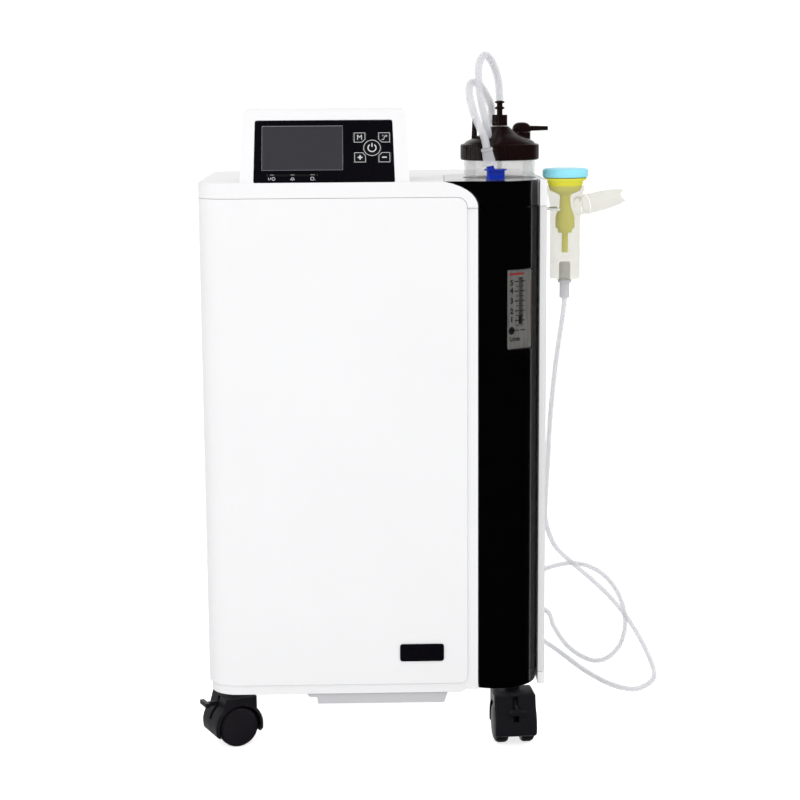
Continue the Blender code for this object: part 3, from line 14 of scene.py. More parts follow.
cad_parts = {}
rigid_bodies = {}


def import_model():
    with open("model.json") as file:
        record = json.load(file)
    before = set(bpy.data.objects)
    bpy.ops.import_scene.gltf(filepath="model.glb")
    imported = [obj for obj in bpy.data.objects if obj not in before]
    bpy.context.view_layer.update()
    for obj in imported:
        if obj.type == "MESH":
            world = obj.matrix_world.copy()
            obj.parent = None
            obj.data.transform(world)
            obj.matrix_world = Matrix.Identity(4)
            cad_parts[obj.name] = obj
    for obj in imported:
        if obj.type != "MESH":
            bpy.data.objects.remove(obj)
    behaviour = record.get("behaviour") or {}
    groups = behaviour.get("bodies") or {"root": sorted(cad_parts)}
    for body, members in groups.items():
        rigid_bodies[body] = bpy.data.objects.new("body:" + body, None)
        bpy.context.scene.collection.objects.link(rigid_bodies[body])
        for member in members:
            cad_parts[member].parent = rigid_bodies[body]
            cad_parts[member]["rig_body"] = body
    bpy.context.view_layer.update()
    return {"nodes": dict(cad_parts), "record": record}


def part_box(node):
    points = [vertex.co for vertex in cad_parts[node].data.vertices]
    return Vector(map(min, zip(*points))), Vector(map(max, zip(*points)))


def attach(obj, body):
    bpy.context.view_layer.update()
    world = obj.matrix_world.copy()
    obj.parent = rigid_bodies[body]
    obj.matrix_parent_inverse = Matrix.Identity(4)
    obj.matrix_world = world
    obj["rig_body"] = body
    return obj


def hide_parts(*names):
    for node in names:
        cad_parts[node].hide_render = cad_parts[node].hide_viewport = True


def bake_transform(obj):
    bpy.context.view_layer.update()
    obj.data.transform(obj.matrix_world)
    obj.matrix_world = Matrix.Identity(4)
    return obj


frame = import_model()

# ---------------------------------------------------------------- places taken from the frame

HALF_WIDTH = 0.2000
ORIGIN = Vector((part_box("front_panel")[0].x + HALF_WIDTH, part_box("front_panel")[0].y, 0.0))
AT_CABINET = Matrix.Translation(ORIGIN)

CONSOLE_LEAN = math.radians(25.6)
AT_CONSOLE = (
    AT_CABINET
    @ Matrix.Translation((0, 0.0020, 0.6720))
    @ Matrix.Rotation(math.pi / 2 - CONSOLE_LEAN, 4, "X")
)
FLOW_TURN = math.radians(34.6)
AT_FLOW = (
    AT_CABINET
    @ Matrix.Translation((0.17105, 0.0115, 0.52835))
    @ Matrix.Rotation(FLOW_TURN, 4, "Z")
    @ Matrix.Rotation(math.pi / 2, 4, "X")
)
BOTTLE_X, BOTTLE_Y = 0.1535, 0.0950
CUP_X, CUP_Y = 0.2325, 0.1000

SLOT_OF = {part["node"]: part["material_slot"] for part in frame["record"]["subparts"]}

# ---------------------------------------------------------------- materials


def nodes_for(name):
    made = bpy.data.materials.new(name)
    made.use_nodes = True
    tree = made.node_tree
    return made, tree, tree.nodes["Principled BSDF"]


def noise(tree, scale, detail=3.0, stretch=(1, 1, 1)):
    """Noise in the piece's own coordinates, its cells about 1 / scale metres."""
    where = tree.nodes.new("ShaderNodeTexCoord")
    mapping = tree.nodes.new("ShaderNodeMapping")
    mapping.inputs["Scale"].default_value = stretch
    texture = tree.nodes.new("ShaderNodeTexNoise")
    texture.inputs["Scale"].default_value = scale
    texture.inputs["Detail"].default_value = detail
    tree.links.new(where.outputs["Object"], mapping.inputs["Vector"])
    tree.links.new(mapping.outputs["Vector"], texture.inputs["Vector"])
    return texture.outputs["Fac"]


def spread(tree, value, low, high):
    """A 0 to 1 value spread from low to high."""
    ranged = tree.nodes.new("ShaderNodeMapRange")
    ranged.inputs["From Min"].default_value = 0.3
    ranged.inputs["From Max"].default_value = 0.7
    ranged.inputs["To Min"].default_value = low
    ranged.inputs["To Max"].default_value = high
    tree.links.new(value, ranged.inputs["Value"])
    return ranged.outputs["Result"]


def mixed(tree, factor, first, second):
    blend = tree.nodes.new("ShaderNodeMix")
    blend.data_type = "RGBA"
    blend.inputs["A"].default_value = (*first, 1)
    blend.inputs["B"].default_value = (*second, 1)
    tree.links.new(factor, blend.inputs["Factor"])
    return blend.outputs["Result"]


def moulded(
    name, color, roughness, mottle=0.03, grain=0.0, grain_scale=1400.0, fixed=None, stretch=(1, 1, 1)
):
    """A moulded or coated surface: slightly uneven colour and gloss, over a fine grain where grain is set.

    fixed sets sockets of the shader, and stretch draws the gloss and grain out along an axis.
    """
    made, tree, shader = nodes_for(name)
    darker = tuple(c * (1 - mottle) for c in color)
    patches = spread(tree, noise(tree, 7.0), 0, 1)
    tree.links.new(mixed(tree, patches, color, darker), shader.inputs["Base Color"])
    gloss = spread(tree, noise(tree, 45.0, 4.0, stretch), roughness * 0.88, min(1.0, roughness * 1.12))
    tree.links.new(gloss, shader.inputs["Roughness"])
    if grain:
        bump = tree.nodes.new("ShaderNodeBump")
        bump.inputs["Strength"].default_value = grain
        bump.inputs["Distance"].default_value = 0.0002
        tree.links.new(noise(tree, grain_scale, 2.0, stretch), bump.inputs["Height"])
        tree.links.new(bump.outputs["Normal"], shader.inputs["Normal"])
    for socket, value in (fixed or {}).items():
        shader.inputs[socket].default_value = value
    return made


def foam():
    """Open-cell filter foam, its colour darker in the pits of its cells and lighter on the ridges: painted
    shade that follows the bump.
    """
    made, tree, shader = nodes_for("filter_foam")
    cells = tree.nodes.new("ShaderNodeTexVoronoi")
    cells.inputs["Scale"].default_value = 420
    where = tree.nodes.new("ShaderNodeTexCoord")
    tree.links.new(where.outputs["Object"], cells.inputs["Vector"])
    # Painted shade: the colour follows the bump height, dark in the pores and lighter on the ridges between
    # them.
    pore_shade = mixed(tree, cells.outputs["Distance"], (0.03, 0.03, 0.033), (0.14, 0.14, 0.15))
    tree.links.new(pore_shade, shader.inputs["Base Color"])
    bump = tree.nodes.new("ShaderNodeBump")
    bump.inputs["Strength"].default_value = 0.9
    bump.inputs["Distance"].default_value = 0.001
    tree.links.new(cells.outputs["Distance"], bump.inputs["Height"])
    tree.links.new(bump.outputs["Normal"], shader.inputs["Normal"])
    shader.inputs["Roughness"].default_value = 0.95
    return made


def scale_plate():
    """The flowmeter's silver-grey scale, with fine upright streaks."""
    made, tree, shader = nodes_for("flow_scale")
    streaks = spread(tree, noise(tree, 60, 3, (12, 12, 0.6)), 0, 1)
    silver = mixed(tree, streaks, (0.100, 0.098, 0.092), (0.158, 0.155, 0.148))
    tree.links.new(silver, shader.inputs["Base Color"])
    shader.inputs["Roughness"].default_value = 0.30
    shader.inputs["Coat Weight"].default_value = 0.5
    shader.inputs["Coat Roughness"].default_value = 0.05
    return made


def screen_glass():
    """The unlit liquid-crystal screen: dark grey with a very fine grid of cells."""
    made, tree, shader = nodes_for("lcd")
    grid = tree.nodes.new("ShaderNodeTexChecker")
    grid.inputs["Scale"].default_value = 1600
    grid.inputs["Color1"].default_value = (0.048, 0.046, 0.056, 1)
    grid.inputs["Color2"].default_value = (0.040, 0.038, 0.047, 1)
    where = tree.nodes.new("ShaderNodeTexCoord")
    tree.links.new(where.outputs["Object"], grid.inputs["Vector"])
    tree.links.new(grid.outputs["Color"], shader.inputs["Base Color"])
    shader.inputs["Roughness"].default_value = 0.28
    shader.inputs["Coat Weight"].default_value = 0.6
    shader.inputs["Coat Roughness"].default_value = 0.08
    return made


CLEAR_SETTINGS = {"Alpha": 0.30, "IOR": 1.45, "Transmission Weight": 0.55}
HOSE_SETTINGS = {"Alpha": 0.42, "IOR": 1.40}
FROSTED_SETTINGS = {"Alpha": 0.22, "IOR": 1.35}
GLOSSY = {"Coat Weight": 0.6, "Coat Roughness": 0.04}
COLUMN_GLOSS = {"Coat Weight": 0.5, "Coat Roughness": 0.12}
METAL = {"Metallic": 1.0}
CAP_SHEEN = {"Specular IOR Level": 0.4}
STEEL_GRAIN, ALUMINIUM_GRAIN = (1, 1, 12), (8, 1, 1)

LOOKS = {
    "white_shell": moulded("white_shell", (0.885, 0.885, 0.895), 0.34, 0.015, 0.05, 900),
    "grey_duct": moulded("grey_duct", (0.60, 0.60, 0.62), 0.50, 0.04, 0.10),
    "black_column": moulded("black_column", (0.0006, 0.0004, 0.0009), 0.18, 0.2, fixed=COLUMN_GLOSS),
    "console_glass": moulded("console_glass", (0.0045, 0.0040, 0.0060), 0.09, 0.2, fixed=GLOSSY),
    "black_plastic": moulded("black_plastic", (0.0110, 0.0095, 0.0135), 0.42, 0.15, 0.25),
    "lcd": screen_glass(),
    "buttons": moulded("buttons", (0.0070, 0.0065, 0.0085), 0.30, 0.1, 0.05),
    "clear_plastic": moulded("clear_plastic", (0.84, 0.83, 0.82), 0.08, 0.01, fixed=CLEAR_SETTINGS),
    "humidifier_cap": moulded("humidifier_cap", (0.0125, 0.0042, 0.0036), 0.26, 0.15, 0.08, fixed=CAP_SHEEN),
    "blue_outlet": moulded("blue_outlet", (0.004, 0.035, 0.52), 0.24, 0.10, fixed={"Coat Weight": 0.4}),
    "flow_scale": scale_plate(),
    "hose": moulded("hose", (0.80, 0.80, 0.83), 0.22, 0.03, fixed=HOSE_SETTINGS),
    "frosted_plastic": moulded(
        "frosted_plastic", (0.48, 0.46, 0.36), 0.42, 0.03, 0.10, fixed=FROSTED_SETTINGS
    ),
    "yellow_insert": moulded("yellow_insert", (0.92, 0.88, 0.06), 0.38, 0.05, 0.05),
    "nebulizer_lid": moulded("nebulizer_lid", (0.32, 0.84, 0.98), 0.36, 0.03, 0.08),
    "grey_connector": moulded("grey_connector", (0.62, 0.62, 0.65), 0.34, 0.04, 0.08),
    "caster_wheel": moulded("caster_wheel", (0.0125, 0.0100, 0.0150), 0.46, 0.15, 0.20),
    "steel": moulded("steel", (0.60, 0.61, 0.63), 0.34, 0.06, 0.15, 700, METAL, STEEL_GRAIN),
    "aluminium": moulded("aluminium", (0.70, 0.71, 0.73), 0.38, 0.06, 0.20, 500, METAL, ALUMINIUM_GRAIN),
    "circuit_board": moulded("circuit_board", (0.015, 0.160, 0.055), 0.42, 0.2, 0.15, 500),
    "filter_foam": foam(),
}
PRINT_WHITE = moulded("print_white", (0.66, 0.67, 0.68), 0.45)
# Dark print, also used as painted shade for the cross recesses of the rear screws.
DARK_PRINT_AND_RECESS_SHADE = moulded("dark_print_and_recess_shade", (0.012, 0.012, 0.012), 0.50)
PRINT_RED = moulded("print_red", (0.24, 0.016, 0.014), 0.45)
LAMP = moulded("lamp_window", (0.30, 0.31, 0.32), 0.40)
# The side cover's shell: the white shell darkened to 0.74, painted shade that stands in for the shade on the
# cover's strip beside the column.
SIDE_SHELL_PAINTED_SHADE = moulded("side_shell_painted_shade", (0.74, 0.74, 0.745), 0.36, 0.015, 0.05, 900)
SCREEN_EDGE = moulded("screen_edge", (0.30, 0.30, 0.33), 0.30)
WATER = moulded("water", (0.93, 0.97, 0.98), 0.02, 0.0, fixed={"Transmission Weight": 1.0, "IOR": 1.333})

# ---------------------------------------------------------------- shapes


def to_mesh(name, shape):
    mesh = bpy.data.meshes.new(name)
    bmesh.ops.recalc_face_normals(shape, faces=shape.faces)
    shape.to_mesh(mesh)
    shape.free()
    return mesh


def smooth(mesh, angle=38):
    mesh.shade_smooth()
    mesh.set_sharp_from_angle(angle=math.radians(angle))
    return mesh


def piece(name, mesh, look, body, at=AT_CABINET):
    """A new piece with its material, in its place and riding on its body."""
    made = bpy.data.objects.new(name, mesh)
    bpy.context.scene.collection.objects.link(made)
    mesh.materials.clear()
    mesh.materials.append(look)
    made.matrix_world = at
    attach(made, body)
    return made


def bare_mesh(node):
    """A CAD node's solid with its flat faces whole again."""
    shape = bmesh.new()
    shape.from_mesh(frame["nodes"][node].data)
    bmesh.ops.remove_doubles(shape, verts=shape.verts, dist=1e-6)
    bmesh.ops.dissolve_limit(shape, angle_limit=math.radians(0.5), verts=shape.verts, edges=shape.edges)
    points = [v.co.copy() for v in shape.verts]
    shape.verts.index_update()
    faces = [[v.index for v in face.verts] for face in shape.faces]
    shape.free()
    mesh = bpy.data.meshes.new(f"{node}_finish")
    mesh.from_pydata(points, [], faces)
    return mesh


def refined(node, width=0.0006, segments=2, look=None, angle=30):
    """A finished piece that stands for a CAD node: the same solid with its edges eased."""
    slot = SLOT_OF[node]
    mesh = bare_mesh(node)
    body = frame["nodes"][node]["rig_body"]
    made = piece(f"{node}_finish", smooth(mesh), look or LOOKS[slot], body, Matrix.Identity(4))
    if width:
        bevel = made.modifiers.new("eased_edges", "BEVEL")
        bevel.width = width
        bevel.segments = segments
        bevel.limit_method = "ANGLE"
        bevel.angle_limit = math.radians(angle)
        bevel.miter_outer = "MITER_ARC"
        bevel.use_clamp_overlap = True
        bevel.harden_normals = False
    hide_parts(node)
    return made


def ribbon(points, width, height, closed=False):
    """A flat strip of a width along points (x, y), standing height proud of the plane."""
    shape = bmesh.new()
    points = [Vector(p) for p in points]
    count = len(points)
    rows = []
    for i, here in enumerate(points):
        before = points[i - 1] if i or closed else None
        after = points[(i + 1) % count] if i < count - 1 or closed else None
        lead = (here - before).normalized() if before is not None else (after - here).normalized()
        tail = (after - here).normalized() if after is not None else lead
        along = (lead + tail).normalized()
        across = Vector((-along.y, along.x)) * (width / 2 / max(along.dot(lead), 0.5))
        left, right = here + across, here - across
        rows.append([
            shape.verts.new((*left, 0)), shape.verts.new((*right, 0)),
            shape.verts.new((*right, height)), shape.verts.new((*left, height)),
        ])
    for i in range(count if closed else count - 1):
        a, b = rows[i], rows[(i + 1) % count]
        for k in range(4):
            m = (k + 1) % 4
            shape.faces.new((a[k], a[m], b[m], b[k]))
    if not closed:
        shape.faces.new(rows[0])
        shape.faces.new(rows[-1][::-1])
    return to_mesh("ribbon", shape)


def joined(name, meshes):
    """Several meshes as one."""
    shape = bmesh.new()
    for mesh in meshes:
        shape.from_mesh(mesh)
    return to_mesh(name, shape)


def moved(mesh, x=0.0, y=0.0, z=0.0, matrix=None):
    mesh.transform(Matrix.Translation((x, y, z)) @ (matrix or Matrix.Identity(4)))
    return mesh


def arc(radius, start, end, steps, x=0.0, y=0.0):
    """Points on a circle between two angles in degrees."""
    angles = [math.radians(start + (end - start) * i / steps) for i in range(steps + 1)]
    return [(x + radius * math.cos(a), y + radius * math.sin(a)) for a in angles]


def block(x, y, z):
    """A box between three (low, high) pairs."""
    shape = bmesh.new()
    bmesh.ops.create_cube(shape, size=1)
    scale = Matrix.Diagonal((x[1] - x[0], y[1] - y[0], z[1] - z[0], 1))
    middle = Matrix.Translation((sum(x) / 2, sum(y) / 2, sum(z) / 2))
    bmesh.ops.transform(shape, matrix=middle @ scale, verts=shape.verts)
    return to_mesh("block", shape)


def turned(profile, steps=64, closed=True):
    """A turned shape from (radius, height) points; its ends close on the axis."""
    shape = bmesh.new()
    rings = []
    for radius, height in profile:
        if radius < 1e-6:
            rings.append([shape.verts.new((0, 0, height))])
            continue
        rings.append([shape.verts.new((x, y, height)) for x, y in arc(radius, 0, 360, steps)[:-1]])
    pairs = list(zip(rings, rings[1:]))
    if closed:
        pairs.append((rings[-1], rings[0]))
    for a, b in pairs:
        for k in range(steps):
            m = (k + 1) % steps
            corners = [a[k % len(a)], a[m % len(a)], b[m % len(b)], b[k % len(b)]]
            corners = list(dict.fromkeys(corners))
            if len(corners) > 2:
                shape.faces.new(corners)
    return to_mesh("turned", shape)


def lettering(text, size, height, x=0.0, y=0.0, bold=0.0):
    """Plain lettering, standing height proud of the plane."""
    curve = bpy.data.curves.new("lettering", "FONT")
    curve.body = text
    curve.size = size
    curve.align_x = "CENTER"
    curve.align_y = "CENTER"
    curve.extrude = height / 2
    curve.resolution_u = 3
    curve.offset = bold
    drawn = bpy.data.objects.new("lettering", curve)
    bpy.context.scene.collection.objects.link(drawn)
    bpy.context.view_layer.update()
    mesh = bpy.data.meshes.new_from_object(drawn.evaluated_get(bpy.context.evaluated_depsgraph_get()))
    bpy.data.objects.remove(drawn)
    return moved(mesh, x, y, height / 2)


# ---------------------------------------------------------------- the camera and the room


def camera_and_light():
    """A long lens in front of the machine at console height, in a white room.

    Reflections see the room as dark in front and white behind. The backdrop and the floor glow for the camera
    alone, so that both look plain white.
    """
    lens = bpy.data.cameras.new("camera")
    lens.lens = 84.6
    lens.sensor_width = 36
    lens.clip_end = 50
    camera = bpy.data.objects.new("camera", lens)
    bpy.context.scene.collection.objects.link(camera)
    aim = (
        Matrix.Rotation(math.radians(-1.241), 4, "Z")
        @ Matrix.Rotation(math.radians(90 - 9.526), 4, "X")
        @ Matrix.Rotation(math.radians(-0.394), 4, "Z")
    )
    camera.matrix_world = AT_CABINET @ Matrix.Translation((-0.0154, -2.151, 0.786)) @ aim
    bpy.context.scene.camera = camera

    world = bpy.data.worlds.new("white_room")
    bpy.context.scene.world = world
    world.use_nodes = True
    tree = world.node_tree
    tree.nodes.clear()
    where = tree.nodes.new("ShaderNodeTexCoord")
    split = tree.nodes.new("ShaderNodeSeparateXYZ")
    behind = tree.nodes.new("ShaderNodeMapRange")
    behind.inputs["From Min"].default_value = 0.50
    behind.inputs["From Max"].default_value = 0.92
    behind.inputs["To Min"].default_value = 0.001
    behind.inputs["To Max"].default_value = 1.00
    reflected = tree.nodes.new("ShaderNodeBackground")
    room = tree.nodes.new("ShaderNodeBackground")
    for node in (room, reflected):
        node.inputs["Color"].default_value = (1.0, 1.0, 1.0, 1)
    room.inputs["Strength"].default_value = ROOM_STRENGTH
    backdrop = tree.nodes.new("ShaderNodeBackground")
    backdrop.inputs["Color"].default_value = (1.0, 1.0, 1.0, 1)
    backdrop.inputs["Strength"].default_value = 1.10
    path = tree.nodes.new("ShaderNodeLightPath")
    choice = tree.nodes.new("ShaderNodeMixShader")
    seen = tree.nodes.new("ShaderNodeMixShader")
    out = tree.nodes.new("ShaderNodeOutputWorld")
    tree.links.new(where.outputs["Generated"], split.inputs["Vector"])
    tree.links.new(split.outputs["Y"], behind.inputs["Value"])
    tree.links.new(behind.outputs["Result"], reflected.inputs["Strength"])
    tree.links.new(path.outputs["Is Glossy Ray"], choice.inputs["Fac"])
    tree.links.new(room.outputs["Background"], choice.inputs[1])
    tree.links.new(reflected.outputs["Background"], choice.inputs[2])
    tree.links.new(path.outputs["Is Camera Ray"], seen.inputs["Fac"])
    tree.links.new(choice.outputs["Shader"], seen.inputs[1])
    tree.links.new(backdrop.outputs["Background"], seen.inputs[2])
    tree.links.new(seen.outputs["Shader"], out.inputs["Surface"])

    for name, place, size, power in LIGHTS:
        data = bpy.data.lights.new(name, "AREA")
        data.shape = "RECTANGLE"
        data.size, data.size_y = size
        data.energy = power
        lamp = bpy.data.objects.new(name, data)
        bpy.context.scene.collection.objects.link(lamp)
        lamp.location = ORIGIN + Vector(place)
        aim_at = ORIGIN + Vector((0.0, 0.1, 0.45))
        lamp.rotation_euler = (aim_at - lamp.location).to_track_quat("-Z", "Y").to_euler()
        lamp.visible_glossy = False

    shape = bmesh.new()
    bmesh.ops.create_grid(shape, x_segments=24, y_segments=24, size=14)
    floor = bpy.data.objects.new("floor", to_mesh("floor", shape))
    bpy.context.scene.collection.objects.link(floor)
    paper = moulded("floor_paper", (0.93, 0.93, 0.93), 0.75, 0.01, 0.05)
    tree = paper.node_tree
    path = tree.nodes.new("ShaderNodeLightPath")
    glow = tree.nodes.new("ShaderNodeMath")
    glow.operation = "MULTIPLY"
    glow.inputs[1].default_value = 0.7
    tree.links.new(path.outputs["Is Camera Ray"], glow.inputs[0])
    tree.nodes["Principled BSDF"].inputs["Emission Color"].default_value = (1, 1, 1, 1)
    tree.links.new(glow.outputs["Value"], tree.nodes["Principled BSDF"].inputs["Emission Strength"])
    floor.data.materials.append(paper)
    floor.location.z = -0.0004
    floor.visible_glossy = False
    bpy.context.scene.view_settings.view_transform = "Standard"


ROOM_STRENGTH = 0.98
# name, place in the cabinet frame, size and power; none shows in reflections
LIGHTS = [
    ("front_softbox", (-0.5, -2.6, 1.9), (2.4, 1.6), 16),
    ("right_strip", (2.2, 0.2, 0.7), (0.25, 1.6), 3),
    ("left_strip", (-1.5, -1.9, 0.8), (0.10, 1.4), 1.2),
]

# ---------------------------------------------------------------- hoses

HOSE_R = 0.00365
SHORT_HOSE_R = 0.0046
NEBULIZER_HOSE = [
    (0.2325, 0.1000, 0.5308), (0.2318, 0.1005, 0.5180), (0.2282, 0.1030, 0.4900), (0.2235, 0.1085, 0.4500),
    (0.2205, 0.1180, 0.4100), (0.2190, 0.1350, 0.3650), (0.2190, 0.1540, 0.3150), (0.2188, 0.1740, 0.2700),
    (0.2215, 0.1960, 0.2320), (0.2350, 0.2160, 0.1960), (0.2573, 0.2350, 0.1700), (0.2964, 0.2600, 0.1312),
    (0.3261, 0.2800, 0.0971), (0.3496, 0.2960, 0.0632), (0.3680, 0.3020, 0.0300), (0.3765, 0.2880, 0.0085),
    (0.3735, 0.2560, 0.0041), (0.3600, 0.2250, 0.0040), (0.3372, 0.2050, 0.0040), (0.3110, 0.2280, 0.0040),
    (0.2839, 0.2900, 0.0040), (0.2600, 0.3720, 0.0040), (0.2380, 0.4230, 0.0080), (0.2080, 0.4380, 0.0250),
    (0.1960, 0.4270, 0.0500), (0.2130, 0.4060, 0.0640), (0.2430, 0.3860, 0.0590), (0.2515, 0.3700, 0.0405),
    (0.2675, 0.3500, 0.0200), (0.2886, 0.3350, 0.0075), (0.3070, 0.3270, 0.0048), (0.3240, 0.3260, 0.0118),
    (0.3380, 0.3280, 0.0276), (0.3452, 0.3350, 0.0495), (0.3445, 0.3420, 0.0720), (0.3357, 0.3500, 0.0965),
    (0.3196, 0.3560, 0.1166), (0.2994, 0.3600, 0.1290), (0.2772, 0.3620, 0.1340), (0.2532, 0.3620, 0.1310),
    (0.2300, 0.3620, 0.1240), (0.2060, 0.3615, 0.1190), (0.1830, 0.3580, 0.1180), (0.1660, 0.3480, 0.1180),
    (0.1594, 0.3350, 0.1180), (0.1590, 0.3242, 0.1180),
]
HUMIDIFIER_HOSE = [
    (0.1335, 0.0300, 0.7138), (0.1306, 0.0286, 0.7262), (0.1225, 0.0246, 0.7430), (0.1163, 0.0240, 0.7610),
    (0.1138, 0.0320, 0.7765), (0.1168, 0.0480, 0.7868), (0.1260, 0.0660, 0.7868), (0.1345, 0.0840, 0.7775),
    (0.1418, 0.0990, 0.7655), (0.1450, 0.1095, 0.7555), (0.1443, 0.1125, 0.7465), (0.1410, 0.1060, 0.7398),
    (0.1372, 0.0930, 0.7385), (0.1360, 0.0760, 0.7335), (0.1370, 0.0600, 0.7275), (0.1365, 0.0480, 0.7290),
    (0.1345, 0.0405, 0.7380), (0.1310, 0.0365, 0.7520), (0.1270, 0.0360, 0.7720), (0.1250, 0.0400, 0.7920),
    (0.1262, 0.0480, 0.8090), (0.1335, 0.0620, 0.8190), (0.1420, 0.0760, 0.8130), (0.1485, 0.0870, 0.8000),
    (0.1520, 0.0930, 0.7870), (0.1532, 0.0950, 0.7760), (0.1535, 0.0950, 0.7672),
]


def smooth_route(route, spacing):
    """Evenly spaced points on a smooth curve through a route's own points."""
    route = [Vector(p) for p in route]
    ends = [2 * route[0] - route[1], *route, 2 * route[-1] - route[-2]]
    fine = []
    for i in range(len(route) - 1):
        a, b, c, d = ends[i : i + 4]
        for k in range(12):
            t = k / 12
            bend = (2 * b, c - a, 2 * a - 5 * b + 4 * c - d, 3 * b - a - 3 * c + d)
            fine.append((bend[0] + bend[1] * t + bend[2] * t * t + bend[3] * t**3) / 2)
    fine.append(route[-1])
    lengths = [0.0]
    for a, b in zip(fine, fine[1:]):
        lengths.append(lengths[-1] + (b - a).length)
    count = round(lengths[-1] / spacing)
    points, k = [], 0
    for i in range(count + 1):
        want = lengths[-1] * i / count
        while k < len(fine) - 2 and lengths[k + 1] < want:
            k += 1
        points.append(fine[k].lerp(fine[k + 1], (want - lengths[k]) / (lengths[k + 1] - lengths[k])))
    return points


def hose_mesh(points, radius, bore, sides=20):
    """A hollow hose along points, its rings carried without twist, open at both ends."""
    shape = bmesh.new()
    along = (points[1] - points[0]).normalized()
    across = along.orthogonal().normalized()
    walls = {radius: [], bore: []}
    for i, here in enumerate(points):
        ahead = (points[min(i + 1, len(points) - 1)] - points[max(i - 1, 0)]).normalized()
        across = (along.rotation_difference(ahead) @ across).normalized()
        along = ahead
        upright = along.cross(across)
        for r, rings in walls.items():
            rings.append([
                shape.verts.new(here + (across * math.cos(a) + upright * math.sin(a)) * r)
                for a in (2 * math.pi * k / sides for k in range(sides))
            ])
    outer, inner = walls[radius], walls[bore]
    order = outer + inner[::-1]
    for i, ring in enumerate(order):
        after = order[(i + 1) % len(order)]
        for k in range(sides):
            m = (k + 1) % sides
            shape.faces.new((ring[k], ring[m], after[m], after[k]))
    return smooth(to_mesh("hose", shape), 60)


def hoses():
    """The nebulizer's long hose, whose upper end starts at the cup, and the humidifier's short looped hose.
    """
    points = [ORIGIN + p for p in smooth_route(NEBULIZER_HOSE, 0.0060)]
    long_hose = bpy.data.objects.new("nebulizer_hose_tube", hose_mesh(points, HOSE_R, 0.0024))
    bpy.context.scene.collection.objects.link(long_hose)
    long_hose.data.materials.append(LOOKS["hose"])
    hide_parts("nebulizer_hose")
    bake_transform(long_hose)

    points = [ORIGIN + p for p in smooth_route(HUMIDIFIER_HOSE, 0.0030)]
    mesh = hose_mesh(points, SHORT_HOSE_R, 0.0030)
    short_hose = piece("humidifier_hose_tube", mesh, LOOKS["hose"], "humidifier", Matrix.Identity(4))
    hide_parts("humidifier_hose")


# ---------------------------------------------------------------- cabinet


def cabinet():
    """The white shells, the black column and deck, the duct and the fittings at the back."""
    refined("front_panel", 0.0010, 3)
    refined("top_cover", 0.0012, 3)
    # The side cover takes the darker shell, painted shade.
    refined("side_cover", 0.0008, 3, SIDE_SHELL_PAINTED_SHADE)
    refined("rear_cover", 0.0)
    refined("base_tray", 0.0010, 3)
    refined("column_shell", 0.0007, 3)
    refined("column_deck", 0.0010, 3)
    refined("exhaust_duct", 0.0008, 2)
    refined("badge", 0.0004, 2)
    refined("filter_cover", 0.0007, 2)
    refined("air_filter", 0.0)
    refined("power_inlet", 0.0004, 2)
    refined("rocker_switch", 0.0005, 2)
    refined("air_port", 0.0003, 2)
    refined("rear_handle", 0.0)
    refined("nebulizer_bracket", 0.0005, 2)


def cross_screw(x, z, facing):
    """The domed head of a screw in the back wall."""
    head = turned([(0.0, 0.0022), (0.0020, 0.0021), (0.0034, 0.0012), (0.0038, 0.0), (0.0, 0.0)], 20, False)
    return moved(head, x, facing, z, Matrix.Rotation(-math.pi / 2, 4, "X"))


def back_details():
    """Screws round the rear cover, with dark crosses on their heads: painted shade that stands for the cross
    recesses.
    """
    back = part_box("rear_cover")[1].y - ORIGIN.y
    places = [(x, z) for x in (-0.180, 0.184) for z in (0.125, 0.375, 0.625)]
    heads = [cross_screw(x, z, back) for x, z in places]
    piece("rear_screws", smooth(joined("rear_screws", heads)), LOOKS["steel"], "cabinet")
    # Dark crosses standing just proud of each screw head: painted shade where the cross recesses are.
    slots = []
    depth = (back + 0.0019, back + 0.0023)
    for x, z in places:
        for across, tall in ((0.0018, 0.0004), (0.0004, 0.0018)):
            slots.append(block((x - across, x + across), depth, (z - tall, z + tall)))
    piece("rear_screw_recess_shade", joined("rear_screw_recess_shade", slots), DARK_PRINT_AND_RECESS_SHADE, "cabinet")


# ---------------------------------------------------------------- console

LCD_LEFT, LCD_RIGHT, LCD_LOW, LCD_HIGH = -0.1248, -0.0319, 0.0201, 0.0755
KEY_HALF_W, KEY_HALF_H, KEY_CUT = 0.0062, 0.0058, 0.0036
POWER = (0.0016, 0.0471)
KEYS = {
    "mode_button": (-0.0126, 0.0600),
    "timer_button": (0.0156, 0.0600),
    "plus_button": (-0.0122, 0.0354),
    "minus_button": (0.0156, 0.0354),
}
KEY_TOP = 0.00032
PRINT = 0.00012


def key_frame(x, v):
    """A key's printed outline, its corner nearest the power key cut off."""
    a = 1 if x < POWER[0] else -1
    b = 1 if v < POWER[1] else -1
    w, h, c = KEY_HALF_W, KEY_HALF_H, KEY_CUT
    points = [(-a * w, -b * h), (a * w, -b * h), (a * w, b * (h - c)), (a * (w - c), b * h), (-a * w, b * h)]
    return ribbon(points, 0.00055, PRINT, closed=True)


